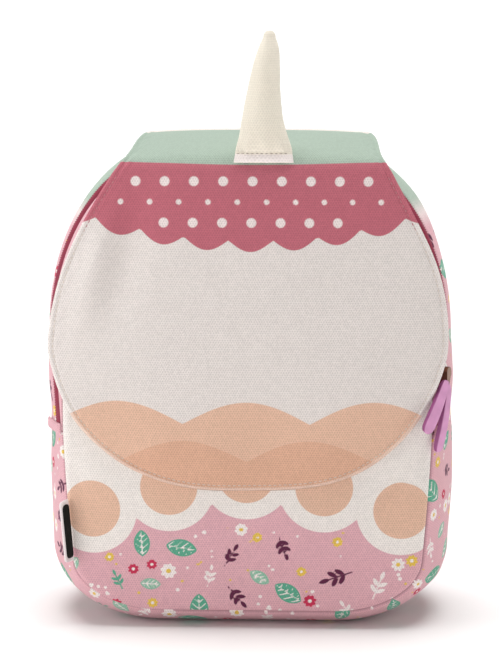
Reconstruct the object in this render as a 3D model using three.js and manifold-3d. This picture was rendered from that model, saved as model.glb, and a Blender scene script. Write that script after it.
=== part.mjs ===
// Kids backpack, in millimetres, +Z up.
// It stands on Z = 0 with the middle of its base at the origin, and its front faces -Y.
import * as THREE from "three";
import { mergeVertices } from "three/addons/utils/BufferGeometryUtils.js";
import Module from "manifold-3d";

// Driving dimensions of the body
const bodyHeight = 290;
const bodyDepth = 94;          // front seam to back seam
const baseHalfWidth = 52;      // flat part of the base
const cornerWidth = 69;        // rounded lower corners
const cornerHeight = 45;
const sideBow = 2.5;           // how far the sides bow out between corner and shoulder
const shoulderHeight = 176;    // where the sides start to round over
const shoulderHalfWidth = 122;
const crownHalfWidth = 40;     // flat part of the top
const clothThickness = 2;      // canvas with its lining
const seamGap = 0.3;
const frontDome = 8;
const domeFullness = 0.9;      // exponent of the front panel's crown
const panelMiddle = 135;       // height of the front panel's crown
const backPadding = 5;

// How far the gusset draws in towards its two seams, in millimetres, and the stretch of its depth
// (0 at the front seam, 1 at the back) that stays at full size.
const gussetShape = {
  base: { front: 10, back: 5, fullFrom: 0.24, fullTo: 0.8 },
  side: { front: 12.5, back: 9, fullFrom: 0.5, fullTo: 0.55 },
  crown: { front: 13.5, back: 0.5, fullFrom: 0.55, fullTo: 0.75 },
};

const frontTaper = 4.5;        // the front seam draws in further towards the base
const taperHeight = 120;

// Zip
const zipEndHeight = 119.5;
const zipSetback = 21.5;       // from the front seam to the middle of the zip, over the top
const zipEndSetback = 5.4;     // and at its two ends
const zipClimb = 75;           // length over which it draws back from the ends
const zipWidth = 7.6;
const zipRecess = 0.7;         // tape below the face of the gusset
const tapeThickness = 1.1;
const coilWidth = 4.5;
const coilStandsProud = 0.6;
const stopLength = 6;          // folded edge at each end of the zip
const stopReach = 24;          // its width across the gusset, from the front seam
const stopThickness = 1.4;
const sliderHeight = 153;
const sliderLength = 12;
const sliderWidth = 8;
const sliderThickness = 3;
// Shares of the slider's width and length
const sliderShape = { noseWidth: 0.6, waistWidth: 0.7, waistAt: 0.4, shoulderAt: 0.6 };

// Each lobe of the soft pull, from the end near the slider to its free end
const pullLobes = [
  { topX: 117.9, topY: -44, topZ: 151.3, endX: 105.6, endY: -63.5, endZ: 123.5, width: 6, thickness: 4 },
  { topX: 118, topY: -42.2, topZ: 149.5, endX: 112.6, endY: -52, endZ: 111.5, width: 6, thickness: 4 },
];
const pullKnot = { x: 117.1, y: -42.5, z: 148.8, radius: 2.6 };

// Flap, measured along its middle line from the back seam, over the top and down the front
const flapThickness = 2.4;
const flapEdgeDrop = 10;       // how far its side edges curve back from its middle line
const flapDropExponent = 3;
const flapBackHalfWidth = 69.2;
const flapWidening = 0.045;    // its strip over the top widens by this share of the distance
const flapNeckExponent = 16;   // rounds the meeting of its top strip and its flaring sides
const flapWidestAt = 214.3;    // distance along the flap to its widest place
const flapWidestHalf = 117.7;
const flapFlank = 0.00347;     // above there its sides draw in by this times the distance squared
const flapLength = 298.4;
const flapRoundness = 1.476;   // exponents of the lower edge's curve
const flapFullness = 0.344;
const flapShift = 0.3;         // the flap sits a little to the right of the middle
const flapBackShift = 4.8;     // and its top more so
const flapBackSkew = 1.9;      // but less at the back edge, within this distance of it
const flapSkewReach = 90;
const flapLine = [
  { place: "back seam", y: 46, z: 293 },
  { place: "top", y: 20, z: 293.8 },
  { place: "top", y: -5, z: 293.1 },
  { place: "top", y: -28, z: 290.4 },
  { place: "top", y: -46, z: 286.9 },
  { place: "fold", y: -53.2, z: 283.6 },
  { place: "fold", y: -56.6, z: 278.2 },
  { place: "front", y: -57.9, z: 270 },
  { place: "front", y: -58.8, z: 258 },
  { place: "front", y: -60.6, z: 225 },
  { place: "front", y: -61.8, z: 180 },
  { place: "front", y: -61.6, z: 130 },
  { place: "lower edge", y: -59.6, z: 87 },
];

// Horn: sections of a stuffed cone above its flat hem
const hornPlace = { x: 9.1, y: -57.4, z: 280.4 };
const hornSections = [
  { height: 0, halfWidth: 17.4, halfDepth: 1.3, lean: 0, back: 0 },
  { height: 5, halfWidth: 16.2, halfDepth: 1.3, lean: 0, back: 0 },
  { height: 8, halfWidth: 15.3, halfDepth: 4.6, lean: 0, back: 1.4 },
  { height: 14, halfWidth: 13.9, halfDepth: 8.2, lean: 0.1, back: 3 },
  { height: 26, halfWidth: 11.6, halfDepth: 9.6, lean: 0.2, back: 4 },
  { height: 40, halfWidth: 9.9, halfDepth: 9.2, lean: 0.8, back: 4.4 },
  { height: 55, halfWidth: 8.2, halfDepth: 8, lean: 2.3, back: 4.8 },
  { height: 65, halfWidth: 6.1, halfDepth: 6.1, lean: 3.6, back: 5 },
  { height: 72, halfWidth: 3.9, halfDepth: 3.9, lean: 4.5, back: 5.2 },
];
const hornHeight = 75.6;

// Plain folded tab in the left front seam, with its lean in radians
const label = {
  low: 38.5, high: 79, reach: 10, thickness: 1.8, cornerRadius: 1.5, lean: 0.45, inset: 2.5, clearance: 1.3,
};

// Shoulder straps, given for the right side and mirrored for the left
const padWidth = 42;
const padThickness = 7;
const padLine = [
  { place: "sewn to the back", x: 34, z: 284, standsOff: 0 },
  { place: "sewn to the back", x: 34, z: 272, standsOff: 0.8 },
  { place: "shoulder", x: 34.4, z: 259, standsOff: 6 },
  { place: "shoulder", x: 36, z: 239, standsOff: 18.5 },
  { place: "shoulder", x: 40, z: 203, standsOff: 32 },
  { place: "arm", x: 46, z: 162, standsOff: 33.5 },
];
const padEnd = { x: 60, z: 112, standsOff: 19 };
const padStraightEnd = 20;
const tabEnd = { x: 95, z: 25, standsOff: 0.4 };
const webbingWidth = 20;
const webbingThickness = 1.4;
const webbingTail = 46;
const tabLength = 24;
const tabThickness = 2.6;
const tabSpread = 6;
const buckleAt = 17;           // from the end of the pad to the buckle's first bar
const buckleWidth = 28;
const buckleThickness = 3;
const buckleBar = 4.5;
const buckleSlots = [
  { from: 4.5, to: 13, width: 22 },
  { from: 18, to: 24, width: 21 },
];
const buckleLength = 28.5;
const buckleCorner = 2;

// Facets
const lowerColumns = 36;
const upperColumns = 64;
const gussetRows = 8;
const stripRows = 6;
const frontStripRows = 3;
const panelColumns = 60;
const frontRings = 6;
const flapRows = 36;
const flapColumns = 16;
const flapEvenShare = 0.42;    // of its length, past which the rows close up towards the round edge
const flapLastRow = 0.996;     // the last row stops just short of the lower edge
const hornSides = 18;
const hornRings = 14;
const padSteps = 20;
const arcSteps = 8;
const smallArcSteps = 3;
const keeperSteps = 32;
const webbingSteps = 48;
const stopColumns = 2;
const stopRows = 5;
const pullSides = 12;
const pullCapSteps = 4;
const knotRings = 8;
const halvings = 40;           // when a place is searched for by its height
const mergeDistance = 1e-4;

const mix = THREE.MathUtils.lerp;
const clamp = THREE.MathUtils.clamp;

const canvas = (color) => new THREE.MeshStandardMaterial({ color, roughness: 0.9, metalness: 0 });
const materials = {
  creamCanvas: canvas(0xe6e0da),
  pinkCanvas: canvas(0xdfa6bb),
  backMesh: canvas(0xd9a9b8),
  zipTape: new THREE.MeshStandardMaterial({ color: 0x7d2440, roughness: 0.75, metalness: 0 }),
  zipCoil: new THREE.MeshStandardMaterial({ color: 0x6b1c34, roughness: 0.45, metalness: 0 }),
  sliderMetal: new THREE.MeshStandardMaterial({ color: 0x8a6a58, roughness: 0.35, metalness: 1 }),
  softPull: new THREE.MeshStandardMaterial({ color: 0xc87acb, roughness: 0.5, metalness: 0 }),
  wovenLabel: canvas(0x26241f),
  webbing: canvas(0xd08aa4),
  moldedBuckle: new THREE.MeshStandardMaterial({ color: 0xc77f9c, roughness: 0.4, metalness: 0 }),
};

// One closed body from points and triangles, turned so that its faces point out.
function solid(points, triangles) {
  let volume = 0;
  for (let k = 0; k < triangles.length; k += 3) {
    const [a, b, c] = triangles.slice(k, k + 3).map((index) => points[index]);
    volume += a.dot(b.clone().cross(c));
  }
  const geometry = new THREE.BufferGeometry().setFromPoints(points);
  geometry.setIndex(volume > 0 ? triangles : triangles.slice().reverse());
  return geometry;
}

// A wall of cloth between an outer and an inner grid of points, each a list of rows.
function wallBetween(outer, inner) {
  const rows = outer.length;
  const columns = outer[0].length;
  const layer = rows * columns;
  const triangles = [];
  const quad = (a, b, c, d) => triangles.push(a, b, c, a, c, d);
  const rim = [];
  for (let column = 0; column < columns; column++) rim.push(column);
  for (let row = 1; row < rows; row++) rim.push(row * columns + columns - 1);
  for (let column = columns - 2; column >= 0; column--) rim.push((rows - 1) * columns + column);
  for (let row = rows - 2; row > 0; row--) rim.push(row * columns);
  for (let row = 0; row < rows - 1; row++) {
    for (let column = 0; column < columns - 1; column++) {
      const a = row * columns + column;
      const b = a + columns;
      quad(a, a + 1, b + 1, b);
      quad(layer + b, layer + b + 1, layer + a + 1, layer + a);
    }
  }
  rim.forEach((from, k) => {
    const to = rim[(k + 1) % rim.length];
    quad(to, from, layer + from, layer + to);
  });
  return solid([...outer.flat(), ...inner.flat()], triangles);
}

// A closed body through rings of points, with a tip point closing each end.
function loft(firstTip, rings, lastTip) {
  const sides = rings[0].length;
  const points = [...rings.flat(), firstTip, lastTip];
  const first = points.length - 2;
  const triangles = [];
  rings.forEach((ring, row) => ring.forEach((_, k) => {
    const a = row * sides + k;
    const b = row * sides + (k + 1) % sides;
    if (row === 0) triangles.push(first, b, a);
    if (row === rings.length - 1) triangles.push(a, b, first + 1);
    else triangles.push(a, b, b + sides, a, b + sides, a + sides);
  }));
  return solid(points, triangles);
}

const range = (count, make) => Array.from({ length: count + 1 }, (_, k) => make(k / count));
const ringOf = (count, make) => Array.from({ length: count }, (_, k) => make(k / count));

// Half outline of the body at its fullest section: base, corner, side, shoulder, crown.
const outline = new THREE.Path();
outline.moveTo(0, 0).lineTo(baseHalfWidth, 0);
outline.absellipse(baseHalfWidth, cornerHeight, cornerWidth, cornerHeight, -Math.PI / 2, 0);
outline.quadraticCurveTo(
  shoulderHalfWidth + sideBow, (cornerHeight + shoulderHeight) / 2, shoulderHalfWidth, shoulderHeight);
outline.absellipse(crownHalfWidth, shoulderHeight, shoulderHalfWidth - crownHalfWidth,
  bodyHeight - shoulderHeight, 0, Math.PI / 2);
outline.lineTo(0, bodyHeight);
const halfLength = outline.getLength();

// Place along the half outline (0 base centre, 1 crown centre) at a height on the bag's side
function placeAtHeight(height) {
  let low = 0;
  let high = 1;
  for (let k = 0; k < halvings; k++) {
    const middle = (low + high) / 2;
    if (outline.getPoint(middle).y < height) low = middle;
    else high = middle;
  }
  return low;
}

const squeeze = ({ front, back, fullFrom, fullTo }, depth) =>
  front * clamp((fullFrom - depth) / fullFrom, 0, 1) ** 2
  + back * clamp((depth - fullTo) / (1 - fullTo), 0, 1) ** 2;

// A point on the gusset. around runs from 0 at the base centre, by 1 at the crown centre on the
// right, to 2 back at the base; depth is 0 at the front seam and 1 at the back; out lifts it off.
function gussetPoint(around, depth, out = 0) {
  const turn = ((around % 2) + 2) % 2;
  const side = turn > 1 ? -1 : 1;
  const along = turn > 1 ? 2 - turn : turn;
  const point = outline.getPoint(along);
  const tangent = outline.getTangent(along);
  const normal = new THREE.Vector2(tangent.y, -tangent.x);
  const ends = normal.y < 0 ? gussetShape.base : gussetShape.crown;
  const taper = frontTaper * clamp(1 - point.y / taperHeight, 0, 1);
  const flank = { ...gussetShape.side, front: gussetShape.side.front + taper };
  const inset = normal.x ** 2 * squeeze(flank, depth) + normal.y ** 2 * squeeze(ends, depth);
  point.addScaledVector(normal, out - inset);
  return new THREE.Vector3(side * point.x, (depth - 0.5) * bodyDepth, point.y);
}

// A strip of the gusset between two places around the outline and two depths, which are given at each place
function gussetStrip({ from, to, front, back, columns, rows, outside = 0, inside = -clothThickness }) {
  const grid = (out) => range(rows, (r) => range(columns, (c) => {
    const around = mix(from, to, c);
    return gussetPoint(around, mix(front(around), back(around), r), out);
  }));
  return wallBetween(grid(outside), grid(inside));
}

// A panel that closes the gusset at one seam, in rings from its middle out to that seam. lift gives how
// far it stands proud at each share of the way from its middle to its rim.
function panel({ depth, seamY, thickness, lift, rings: count }) {
  const middle = new THREE.Vector3(0, 0, panelMiddle);
  const outward = Math.sign(seamY);
  const ring = (share, proud) => ringOf(panelColumns, (k) => {
    const rim = gussetPoint(2 * k, depth);
    const point = middle.clone().lerp(rim, share);
    point.y = seamY + outward * (proud + lift(share));
    return point;
  });
  const shares = range(count, (k) => k).slice(1);
  const rings = [...shares.map((s) => ring(s, 0)), ...shares.reverse().map((s) => ring(s, thickness))];
  const tip = (proud) => new THREE.Vector3(0, seamY + outward * (proud + lift(0)), panelMiddle);
  return loft(tip(0), rings, tip(thickness));
}

const frontSeam = -bodyDepth / 2;
const backSeam = bodyDepth / 2;
const backFace = backSeam + seamGap + backPadding;
const zipEnd = placeAtHeight(zipEndHeight);
const gapAround = seamGap / halfLength;
const zipHalf = zipWidth / 2 / bodyDepth;
const coilHalf = coilWidth / 2 / bodyDepth;
const gapDeep = seamGap / bodyDepth;
const atFront = () => 0;
const atBack = () => 1;

// Depth of the zip's middle at a place around: near the front seam at its ends, level over the top
function zipMiddle(around) {
  const fromEnd = (Math.min(around, 2 - around) - zipEnd) * halfLength;
  return mix(zipEndSetback, zipSetback, THREE.MathUtils.smoothstep(fromEnd, 0, zipClimb)) / bodyDepth;
}
const besideZip = (offset) => (around) => zipMiddle(around) + offset;

const domeAt = (share) => frontDome * (1 - share ** 2) ** domeFullness;

const upper = { from: zipEnd + gapAround, to: 2 - zipEnd - gapAround, columns: upperColumns };
const bodyGeometries = {
  front_panel: panel({
    depth: 0, seamY: frontSeam - seamGap, thickness: clothThickness, lift: domeAt, rings: frontRings }),
  back_panel: panel({
    depth: 1, seamY: backSeam + seamGap, thickness: backPadding, lift: () => 0, rings: 1 }),
  gusset_lower: gussetStrip({
    from: -zipEnd, to: zipEnd, front: atFront, back: atBack, columns: lowerColumns, rows: gussetRows }),
  gusset_front_strip: gussetStrip({
    ...upper, front: atFront, back: besideZip(-zipHalf - gapDeep), rows: frontStripRows }),
  gusset_back_strip: gussetStrip({
    ...upper, front: besideZip(zipHalf + gapDeep), back: atBack, rows: stripRows }),
  zip_tape: gussetStrip({
    ...upper, front: besideZip(-zipHalf), back: besideZip(zipHalf), rows: 1,
    outside: -zipRecess, inside: -zipRecess - tapeThickness }),
  zip_coil: gussetStrip({
    ...upper, front: besideZip(-coilHalf), back: besideZip(coilHalf), rows: 1,
    outside: coilStandsProud, inside: -zipRecess + seamGap }),
};

// Folded edge of the lower gusset just below each end of the zip
function zipStop(from, to) {
  return gussetStrip({
    from, to, front: atFront, back: () => stopReach / bodyDepth, columns: stopColumns, rows: stopRows,
    outside: seamGap + stopThickness, inside: seamGap });
}

// The flap's middle line, and how wide the flap is at each distance along it
const flapCurve = new THREE.CatmullRomCurve3(flapLine.map(({ y, z }) => new THREE.Vector3(0, y, z)));
function flapHalfWidth(distance) {
  const above = flapWidestAt - distance;
  if (above < 0) {
    const share = Math.min(-above / (flapLength - flapWidestAt), 1);
    return flapWidestHalf * (1 - share ** flapRoundness) ** flapFullness;
  }
  const flank = Math.max(flapWidestHalf - flapFlank * above ** 2, 0);
  const strip = flapBackHalfWidth + flapWidening * distance;
  return (strip ** flapNeckExponent + flank ** flapNeckExponent) ** (1 / flapNeckExponent);
}

// A point of the flap: distance along it, share of its half width across it, depth into the cloth
function flapPoint(distance, across, deep) {
  const along = clamp(distance / flapLength, 0, 1);
  const point = flapCurve.getPointAt(along);
  const tangent = flapCurve.getTangentAt(along);
  const inward = new THREE.Vector3(0, -tangent.z, tangent.y);
  const sideways = across * flapHalfWidth(distance);
  const drop = flapEdgeDrop * Math.abs(sideways / flapWidestHalf) ** flapDropExponent;
  point.addScaledVector(inward, drop + deep);
  point.x = sideways + flapShift + flapBackShift * (1 - clamp(distance / flapWidestAt, 0, 1) ** 2)
    - flapBackSkew * (1 - clamp(distance / flapSkewReach, 0, 1)) ** 2;
  return point;
}

function flapGeometry() {
  const rowAt = (k) => flapLength * (k < 0.5 ? mix(0, flapEvenShare, 2 * k)
    : mix(flapEvenShare, flapLastRow, Math.sin((k - 0.5) * Math.PI)));
  const grid = (deep) => range(flapRows, (r) => range(flapColumns, (c) =>
    flapPoint(rowAt(r), mix(-1, 1, c), deep)));
  return wallBetween(grid(0), grid(flapThickness));
}

// The horn's sections follow smooth curves through the table's rows.
function hornGeometry() {
  const curveOf = (column) => new THREE.SplineCurve(
    hornSections.map((row) => new THREE.Vector2(row.height, row[column])));
  const curves = ["halfWidth", "halfDepth", "lean", "back"].map(curveOf);
  const place = new THREE.Vector3(hornPlace.x, hornPlace.y, hornPlace.z);
  const rings = range(hornRings, (k) => {
    const [halfWidth, halfDepth, lean, back] = curves.map((curve) => curve.getPoint(k).y);
    const height = curves[0].getPoint(k).x;
    return ringOf(hornSides, (s) => {
      const angle = 2 * Math.PI * s;
      return new THREE.Vector3(
        lean + halfWidth * Math.cos(angle), back + halfDepth * Math.sin(angle), height).add(place);
    });
  });
  const top = hornSections.at(-1);
  const foot = place.clone();
  const tip = new THREE.Vector3(top.lean, top.back, hornHeight).add(place);
  return loft(foot, rings, tip);
}

// Joining closed meshes into one body
const wasm = await Module();
wasm.setup();
function toManifold(geometry) {
  const bare = geometry.index ? geometry.clone() : geometry.toNonIndexed();
  bare.deleteAttribute("normal");
  bare.deleteAttribute("uv");
  const merged = mergeVertices(bare, mergeDistance);
  return new wasm.Manifold(new wasm.Mesh({
    numProp: 3, vertProperties: merged.attributes.position.array,
    triVerts: new Uint32Array(merged.index.array) }));
}
function joined(geometries) {
  const mesh = geometries.map(toManifold).reduce((all, next) => all.add(next)).getMesh();
  const geometry = new THREE.BufferGeometry();
  geometry.setAttribute("position", new THREE.BufferAttribute(new Float32Array(mesh.vertProperties), 3));
  geometry.setIndex(new THREE.BufferAttribute(new Uint32Array(mesh.triVerts), 1));
  return geometry;
}

// A lobe of the pull: a flattened capsule from its top to its free end
function pullLobe({ topX, topY, topZ, endX, endY, endZ, width, thickness }) {
  const top = new THREE.Vector3(topX, topY, topZ);
  const end = new THREE.Vector3(endX, endY, endZ);
  const radius = width / 2;
  const along = top.clone().sub(end);
  const lobe = new THREE.CapsuleGeometry(radius, along.length() - width, pullCapSteps, pullSides, 1);
  lobe.scale(1, 1, thickness / width);
  const turn = new THREE.Quaternion().setFromUnitVectors(new THREE.Vector3(0, 1, 0), along.normalize());
  return lobe.applyQuaternion(turn).translate(...top.add(end).multiplyScalar(0.5).toArray());
}

// Bell-shaped zip slider, its flat back against the coil
function sliderGeometry() {
  const half = sliderWidth / 2;
  const shape = new THREE.Shape();
  const nose = half * sliderShape.noseWidth;
  const waist = half * sliderShape.waistWidth;
  const waistAt = sliderLength * sliderShape.waistAt;
  const shoulderAt = sliderLength * sliderShape.shoulderAt;
  shape.moveTo(-nose, 0).lineTo(nose, 0);
  shape.quadraticCurveTo(waist, waistAt, half, shoulderAt);
  shape.absarc(0, shoulderAt, half, 0, Math.PI, false);
  shape.quadraticCurveTo(-waist, waistAt, -nose, 0);
  return new THREE.ExtrudeGeometry(shape, {
    depth: sliderThickness, bevelEnabled: false, curveSegments: arcSteps });
}

function roundedRectangle(shape, left, bottom, right, top, radius) {
  shape.moveTo(left + radius, bottom).lineTo(right - radius, bottom);
  shape.absarc(right - radius, bottom + radius, radius, -Math.PI / 2, 0);
  shape.lineTo(right, top - radius).absarc(right - radius, top - radius, radius, 0, Math.PI / 2);
  shape.lineTo(left + radius, top).absarc(left + radius, top - radius, radius, Math.PI / 2, Math.PI);
  shape.lineTo(left, bottom + radius).absarc(left + radius, bottom + radius, radius, Math.PI, Math.PI * 1.5);
  return shape;
}

const part = new THREE.Group();

function addMesh(parent, name, geometry, material) {
  const mesh = new THREE.Mesh(geometry, material);
  mesh.name = name;
  parent.add(mesh);
  return mesh;
}

const bodyMaterials = {
  front_panel: materials.pinkCanvas,
  back_panel: materials.backMesh,
  gusset_lower: materials.pinkCanvas,
  gusset_front_strip: materials.pinkCanvas,
  gusset_back_strip: materials.pinkCanvas,
  zip_tape: materials.zipTape,
  zip_coil: materials.zipCoil,
};
for (const [name, geometry] of Object.entries(bodyGeometries)) {
  addMesh(part, name, geometry, bodyMaterials[name]);
}
const stopStart = zipEnd - stopLength / halfLength;
addMesh(part, "zip_stop_right", zipStop(stopStart, zipEnd), materials.pinkCanvas);
addMesh(part, "zip_stop_left", zipStop(-zipEnd, -stopStart), materials.pinkCanvas);
addMesh(part, "flap", flapGeometry(), materials.creamCanvas);
addMesh(part, "horn", hornGeometry(), materials.creamCanvas);

// The slider lies on the coil: its length along the zip, its thickness outwards.
const sliderAround = placeAtHeight(sliderHeight);
const sliderDepth = zipMiddle(sliderAround);
const sliderSeat = gussetPoint(sliderAround, sliderDepth, coilStandsProud);
const sliderAlong = gussetPoint(sliderAround + gapAround, zipMiddle(sliderAround + gapAround)).sub(
  gussetPoint(sliderAround, sliderDepth)).normalize();
const sliderOut = gussetPoint(sliderAround, sliderDepth + gapDeep).sub(
  gussetPoint(sliderAround, sliderDepth)).cross(sliderAlong).normalize();
const sliderGroup = new THREE.Group();
sliderGroup.position.copy(sliderSeat).addScaledVector(sliderOut, seamGap)
  .addScaledVector(sliderAlong, -sliderLength / 2);
sliderGroup.quaternion.setFromRotationMatrix(new THREE.Matrix4().makeBasis(
  new THREE.Vector3().crossVectors(sliderAlong, sliderOut), sliderAlong, sliderOut));
part.add(sliderGroup);
addMesh(sliderGroup, "zip_slider", sliderGeometry(), materials.sliderMetal);
const knot = new THREE.SphereGeometry(pullKnot.radius, pullSides, knotRings)
  .translate(pullKnot.x, pullKnot.y, pullKnot.z);
addMesh(part, "zip_pull", joined([knot, ...pullLobes.map(pullLobe)]), materials.softPull);

// The label leans out of the left front seam, its length along the seam.
const labelFoot = gussetPoint(-placeAtHeight(label.low), 0);
const labelAlong = gussetPoint(-placeAtHeight(label.high), 0).sub(labelFoot);
const labelLength = labelAlong.length();
labelAlong.normalize();
const labelFace = new THREE.Vector3(-Math.cos(label.lean), Math.sin(label.lean), 0).cross(labelAlong)
  .cross(labelAlong).negate().normalize();
const labelGroup = new THREE.Group();
labelGroup.position.copy(labelFoot);
labelGroup.position.x += label.inset;
labelGroup.position.y -= clothThickness + seamGap + label.clearance;
labelGroup.quaternion.setFromRotationMatrix(new THREE.Matrix4().makeBasis(
  labelAlong.clone().cross(labelFace), labelAlong, labelFace));
part.add(labelGroup);
addMesh(labelGroup, "side_label", new THREE.ExtrudeGeometry(
  roundedRectangle(new THREE.Shape(), 0, 0, label.reach, labelLength, label.cornerRadius),
  { depth: label.thickness, bevelEnabled: false, curveSegments: smallArcSteps }), materials.wovenLabel);

// A ribbon of constant thickness in its own plane: route is a path through its middle.
function ribbonGeometry(route, divisions) {
  const half = webbingThickness / 2;
  const edge = (offset) => range(divisions, (k) => {
    const tangent = route.getTangent(k);
    return route.getPoint(k).add(new THREE.Vector2(-tangent.y, tangent.x).multiplyScalar(offset));
  });
  const shape = new THREE.Shape([...edge(half), ...edge(-half).reverse()]);
  return new THREE.ExtrudeGeometry(shape, { depth: webbingWidth, bevelEnabled: false })
    .translate(0, 0, -webbingWidth / 2);
}

// Distance of the webbing's middle from the buckle's middle, in front and behind
const webbingLayer = buckleThickness / 2 + seamGap + webbingThickness / 2;

for (const [sideName, side] of [["right", 1], ["left", -1]]) {
  const place = ({ x, z, standsOff }, halfThickness) =>
    new THREE.Vector3(side * x, backFace + seamGap + halfThickness + standsOff, z);
  const end = place(padEnd, padThickness / 2);
  const far = place(tabEnd, webbingLayer + tabThickness / 2);
  const down = far.clone().sub(end);
  const webbingLength = down.length();
  down.normalize();

  const padRoute = new THREE.CatmullRomCurve3([
    ...padLine.map((row) => place(row, padThickness / 2)),
    end.clone().addScaledVector(down, -padStraightEnd), end]);
  const padGrid = (level) => range(padSteps, (k) => {
    const point = padRoute.getPointAt(k);
    const tangent = padRoute.getTangentAt(k);
    const out = new THREE.Vector3(1, 0, 0).cross(tangent).multiplyScalar(-1).normalize();
    const across = out.clone().cross(tangent).normalize();
    return [-0.5, 0, 0.5].map((share) => point.clone()
      .addScaledVector(across, share * padWidth).addScaledVector(out, level * padThickness));
  });
  addMesh(part, `shoulder_pad_${sideName}`, wallBetween(padGrid(0.5), padGrid(-0.5)), materials.pinkCanvas);

  // Local frame of the webbing: X down the strap from the end of the pad, Y out from the back, Z across.
  const out = new THREE.Vector3(0, 1, 0).addScaledVector(down, -down.y).normalize();
  const strap = new THREE.Group();
  strap.position.copy(end);
  strap.quaternion.setFromRotationMatrix(
    new THREE.Matrix4().makeBasis(down, out, down.clone().cross(out)));
  part.add(strap);

  const secondBar = buckleAt + buckleSlots[0].to;
  const buckle = roundedRectangle(new THREE.Shape(),
    buckleAt, -buckleWidth / 2, buckleAt + buckleLength, buckleWidth / 2, buckleCorner);
  buckle.holes = buckleSlots.map(({ from, to, width }) => new THREE.Path([
    new THREE.Vector2(buckleAt + from, -width / 2),
    new THREE.Vector2(buckleAt + from, width / 2),
    new THREE.Vector2(buckleAt + to, width / 2),
    new THREE.Vector2(buckleAt + to, -width / 2)]));
  const plate = addMesh(strap, `strap_buckle_${sideName}`, new THREE.ExtrudeGeometry(buckle, {
    depth: buckleThickness, bevelEnabled: false, curveSegments: smallArcSteps }), materials.moldedBuckle);
  plate.rotation.x = Math.PI / 2;
  plate.position.y = buckleThickness / 2;

  // The keeper holds the buckle's first bar to the pad.
  const keeper = new THREE.Path();
  keeper.moveTo(seamGap, -webbingLayer).lineTo(buckleAt + buckleBar, -webbingLayer);
  keeper.absarc(buckleAt + buckleBar, 0, webbingLayer, -Math.PI / 2, Math.PI / 2, false);
  keeper.lineTo(seamGap, webbingLayer);
  addMesh(strap, `pad_keeper_${sideName}`, ribbonGeometry(keeper, keeperSteps), materials.webbing);

  // The webbing comes up from its tab, round the buckle's second bar, and hangs as a free tail.
  const tabStart = webbingLength - tabLength;
  const webbing = new THREE.Path();
  webbing.moveTo(tabStart - seamGap, -webbingLayer).lineTo(secondBar, -webbingLayer);
  webbing.absarc(secondBar, 0, webbingLayer, -Math.PI / 2, Math.PI / 2, true);
  webbing.lineTo(secondBar + webbingTail, webbingLayer);
  addMesh(strap, `strap_webbing_${sideName}`, ribbonGeometry(webbing, webbingSteps), materials.webbing);

  // Tapered fabric tab that holds the end of the webbing at the lower corner of the back
  const tab = new THREE.Shape([
    new THREE.Vector2(tabStart, -webbingWidth / 2),
    new THREE.Vector2(webbingLength, -webbingWidth / 2 - tabSpread),
    new THREE.Vector2(webbingLength, webbingWidth / 2 + tabSpread),
    new THREE.Vector2(tabStart, webbingWidth / 2)]);
  const patch = addMesh(strap, `strap_tab_${sideName}`, new THREE.ExtrudeGeometry(tab, {
    depth: tabThickness, bevelEnabled: false }), materials.pinkCanvas);
  patch.rotation.x = Math.PI / 2;
  patch.position.y = -webbingLayer + tabThickness / 2;
}

export default part;
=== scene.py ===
import bmesh
import bpy
import numpy as np
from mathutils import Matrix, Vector


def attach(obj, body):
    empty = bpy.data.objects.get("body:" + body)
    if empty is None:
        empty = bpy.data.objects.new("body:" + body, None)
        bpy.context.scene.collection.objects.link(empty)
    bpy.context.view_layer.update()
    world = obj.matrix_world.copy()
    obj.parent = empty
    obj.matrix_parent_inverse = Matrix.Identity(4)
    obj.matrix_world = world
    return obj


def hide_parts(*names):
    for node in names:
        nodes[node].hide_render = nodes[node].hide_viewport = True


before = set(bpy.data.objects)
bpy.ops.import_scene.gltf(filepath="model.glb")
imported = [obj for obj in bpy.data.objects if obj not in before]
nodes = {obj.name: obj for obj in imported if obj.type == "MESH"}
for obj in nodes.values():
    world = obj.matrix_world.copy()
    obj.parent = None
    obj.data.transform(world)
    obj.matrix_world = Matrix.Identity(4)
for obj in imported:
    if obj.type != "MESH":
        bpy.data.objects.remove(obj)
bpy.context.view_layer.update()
print("frame loaded:", len(nodes), "nodes")

mm = 0.001
farAway = 9.0  # a field's value where no printed shape comes near
weldReach = 0.004  # points nearer than this, in millimetres, become one
curveSteps = 60  # points on each span of a smooth curve
stitchGrid = (6, 8)  # rows and columns of one stitch
tiny = 1e-9  # keeps a division off zero


# Keeps a value between 0 and 1
def clamp(value):
    return np.clip(value, 0, 1)


# Eased step from 0 to 1: three squares less two cubes
def eased(t):
    return t * t * (3 - 2 * t)


# Bell curve: 1 in its middle, and falling off with the power of its square
def bell(value):
    return np.exp(-value ** 2)


# A sine or cosine whose size is raised to a power: below 1 it squares a round section off
def squarer(wave, power):
    return np.sign(wave) * np.abs(wave) ** power


# Pillow from -1 to 1: the root of 1 less a power, level in the middle and steep at both ends
def pillow(t, power):
    return clamp(1 - np.abs(t) ** power) ** 0.5


# Rounded edge: a quarter circle's height, from 0 at the edge to 1 at its radius and beyond
def quarterRound(edge, radius):
    return np.sqrt(clamp(1 - clamp(1 - edge / radius) ** 2))


# Even steps down the rows of a grid, and across its columns
def rowSteps(count, start=0.0, end=1.0):
    return np.linspace(start, end, count)[:, None]


def columnSteps(count, start=0.0, end=1.0):
    return np.linspace(start, end, count)[None, :]


# Coordinates side by side as points, each stretched to the grid of the others
def asPoints(*parts):
    return np.stack(np.broadcast_arrays(*parts), -1)


# Unit vectors of an array of vectors: each over its own length
def unit(vectors):
    return vectors / np.maximum(np.linalg.norm(vectors, axis=-1, keepdims=True), tiny)


# Length along a line of points: the running sum of its steps
def runAlong(points):
    return np.concatenate([[0], np.cumsum(np.linalg.norm(np.diff(points, axis=0), axis=1))])


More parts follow.
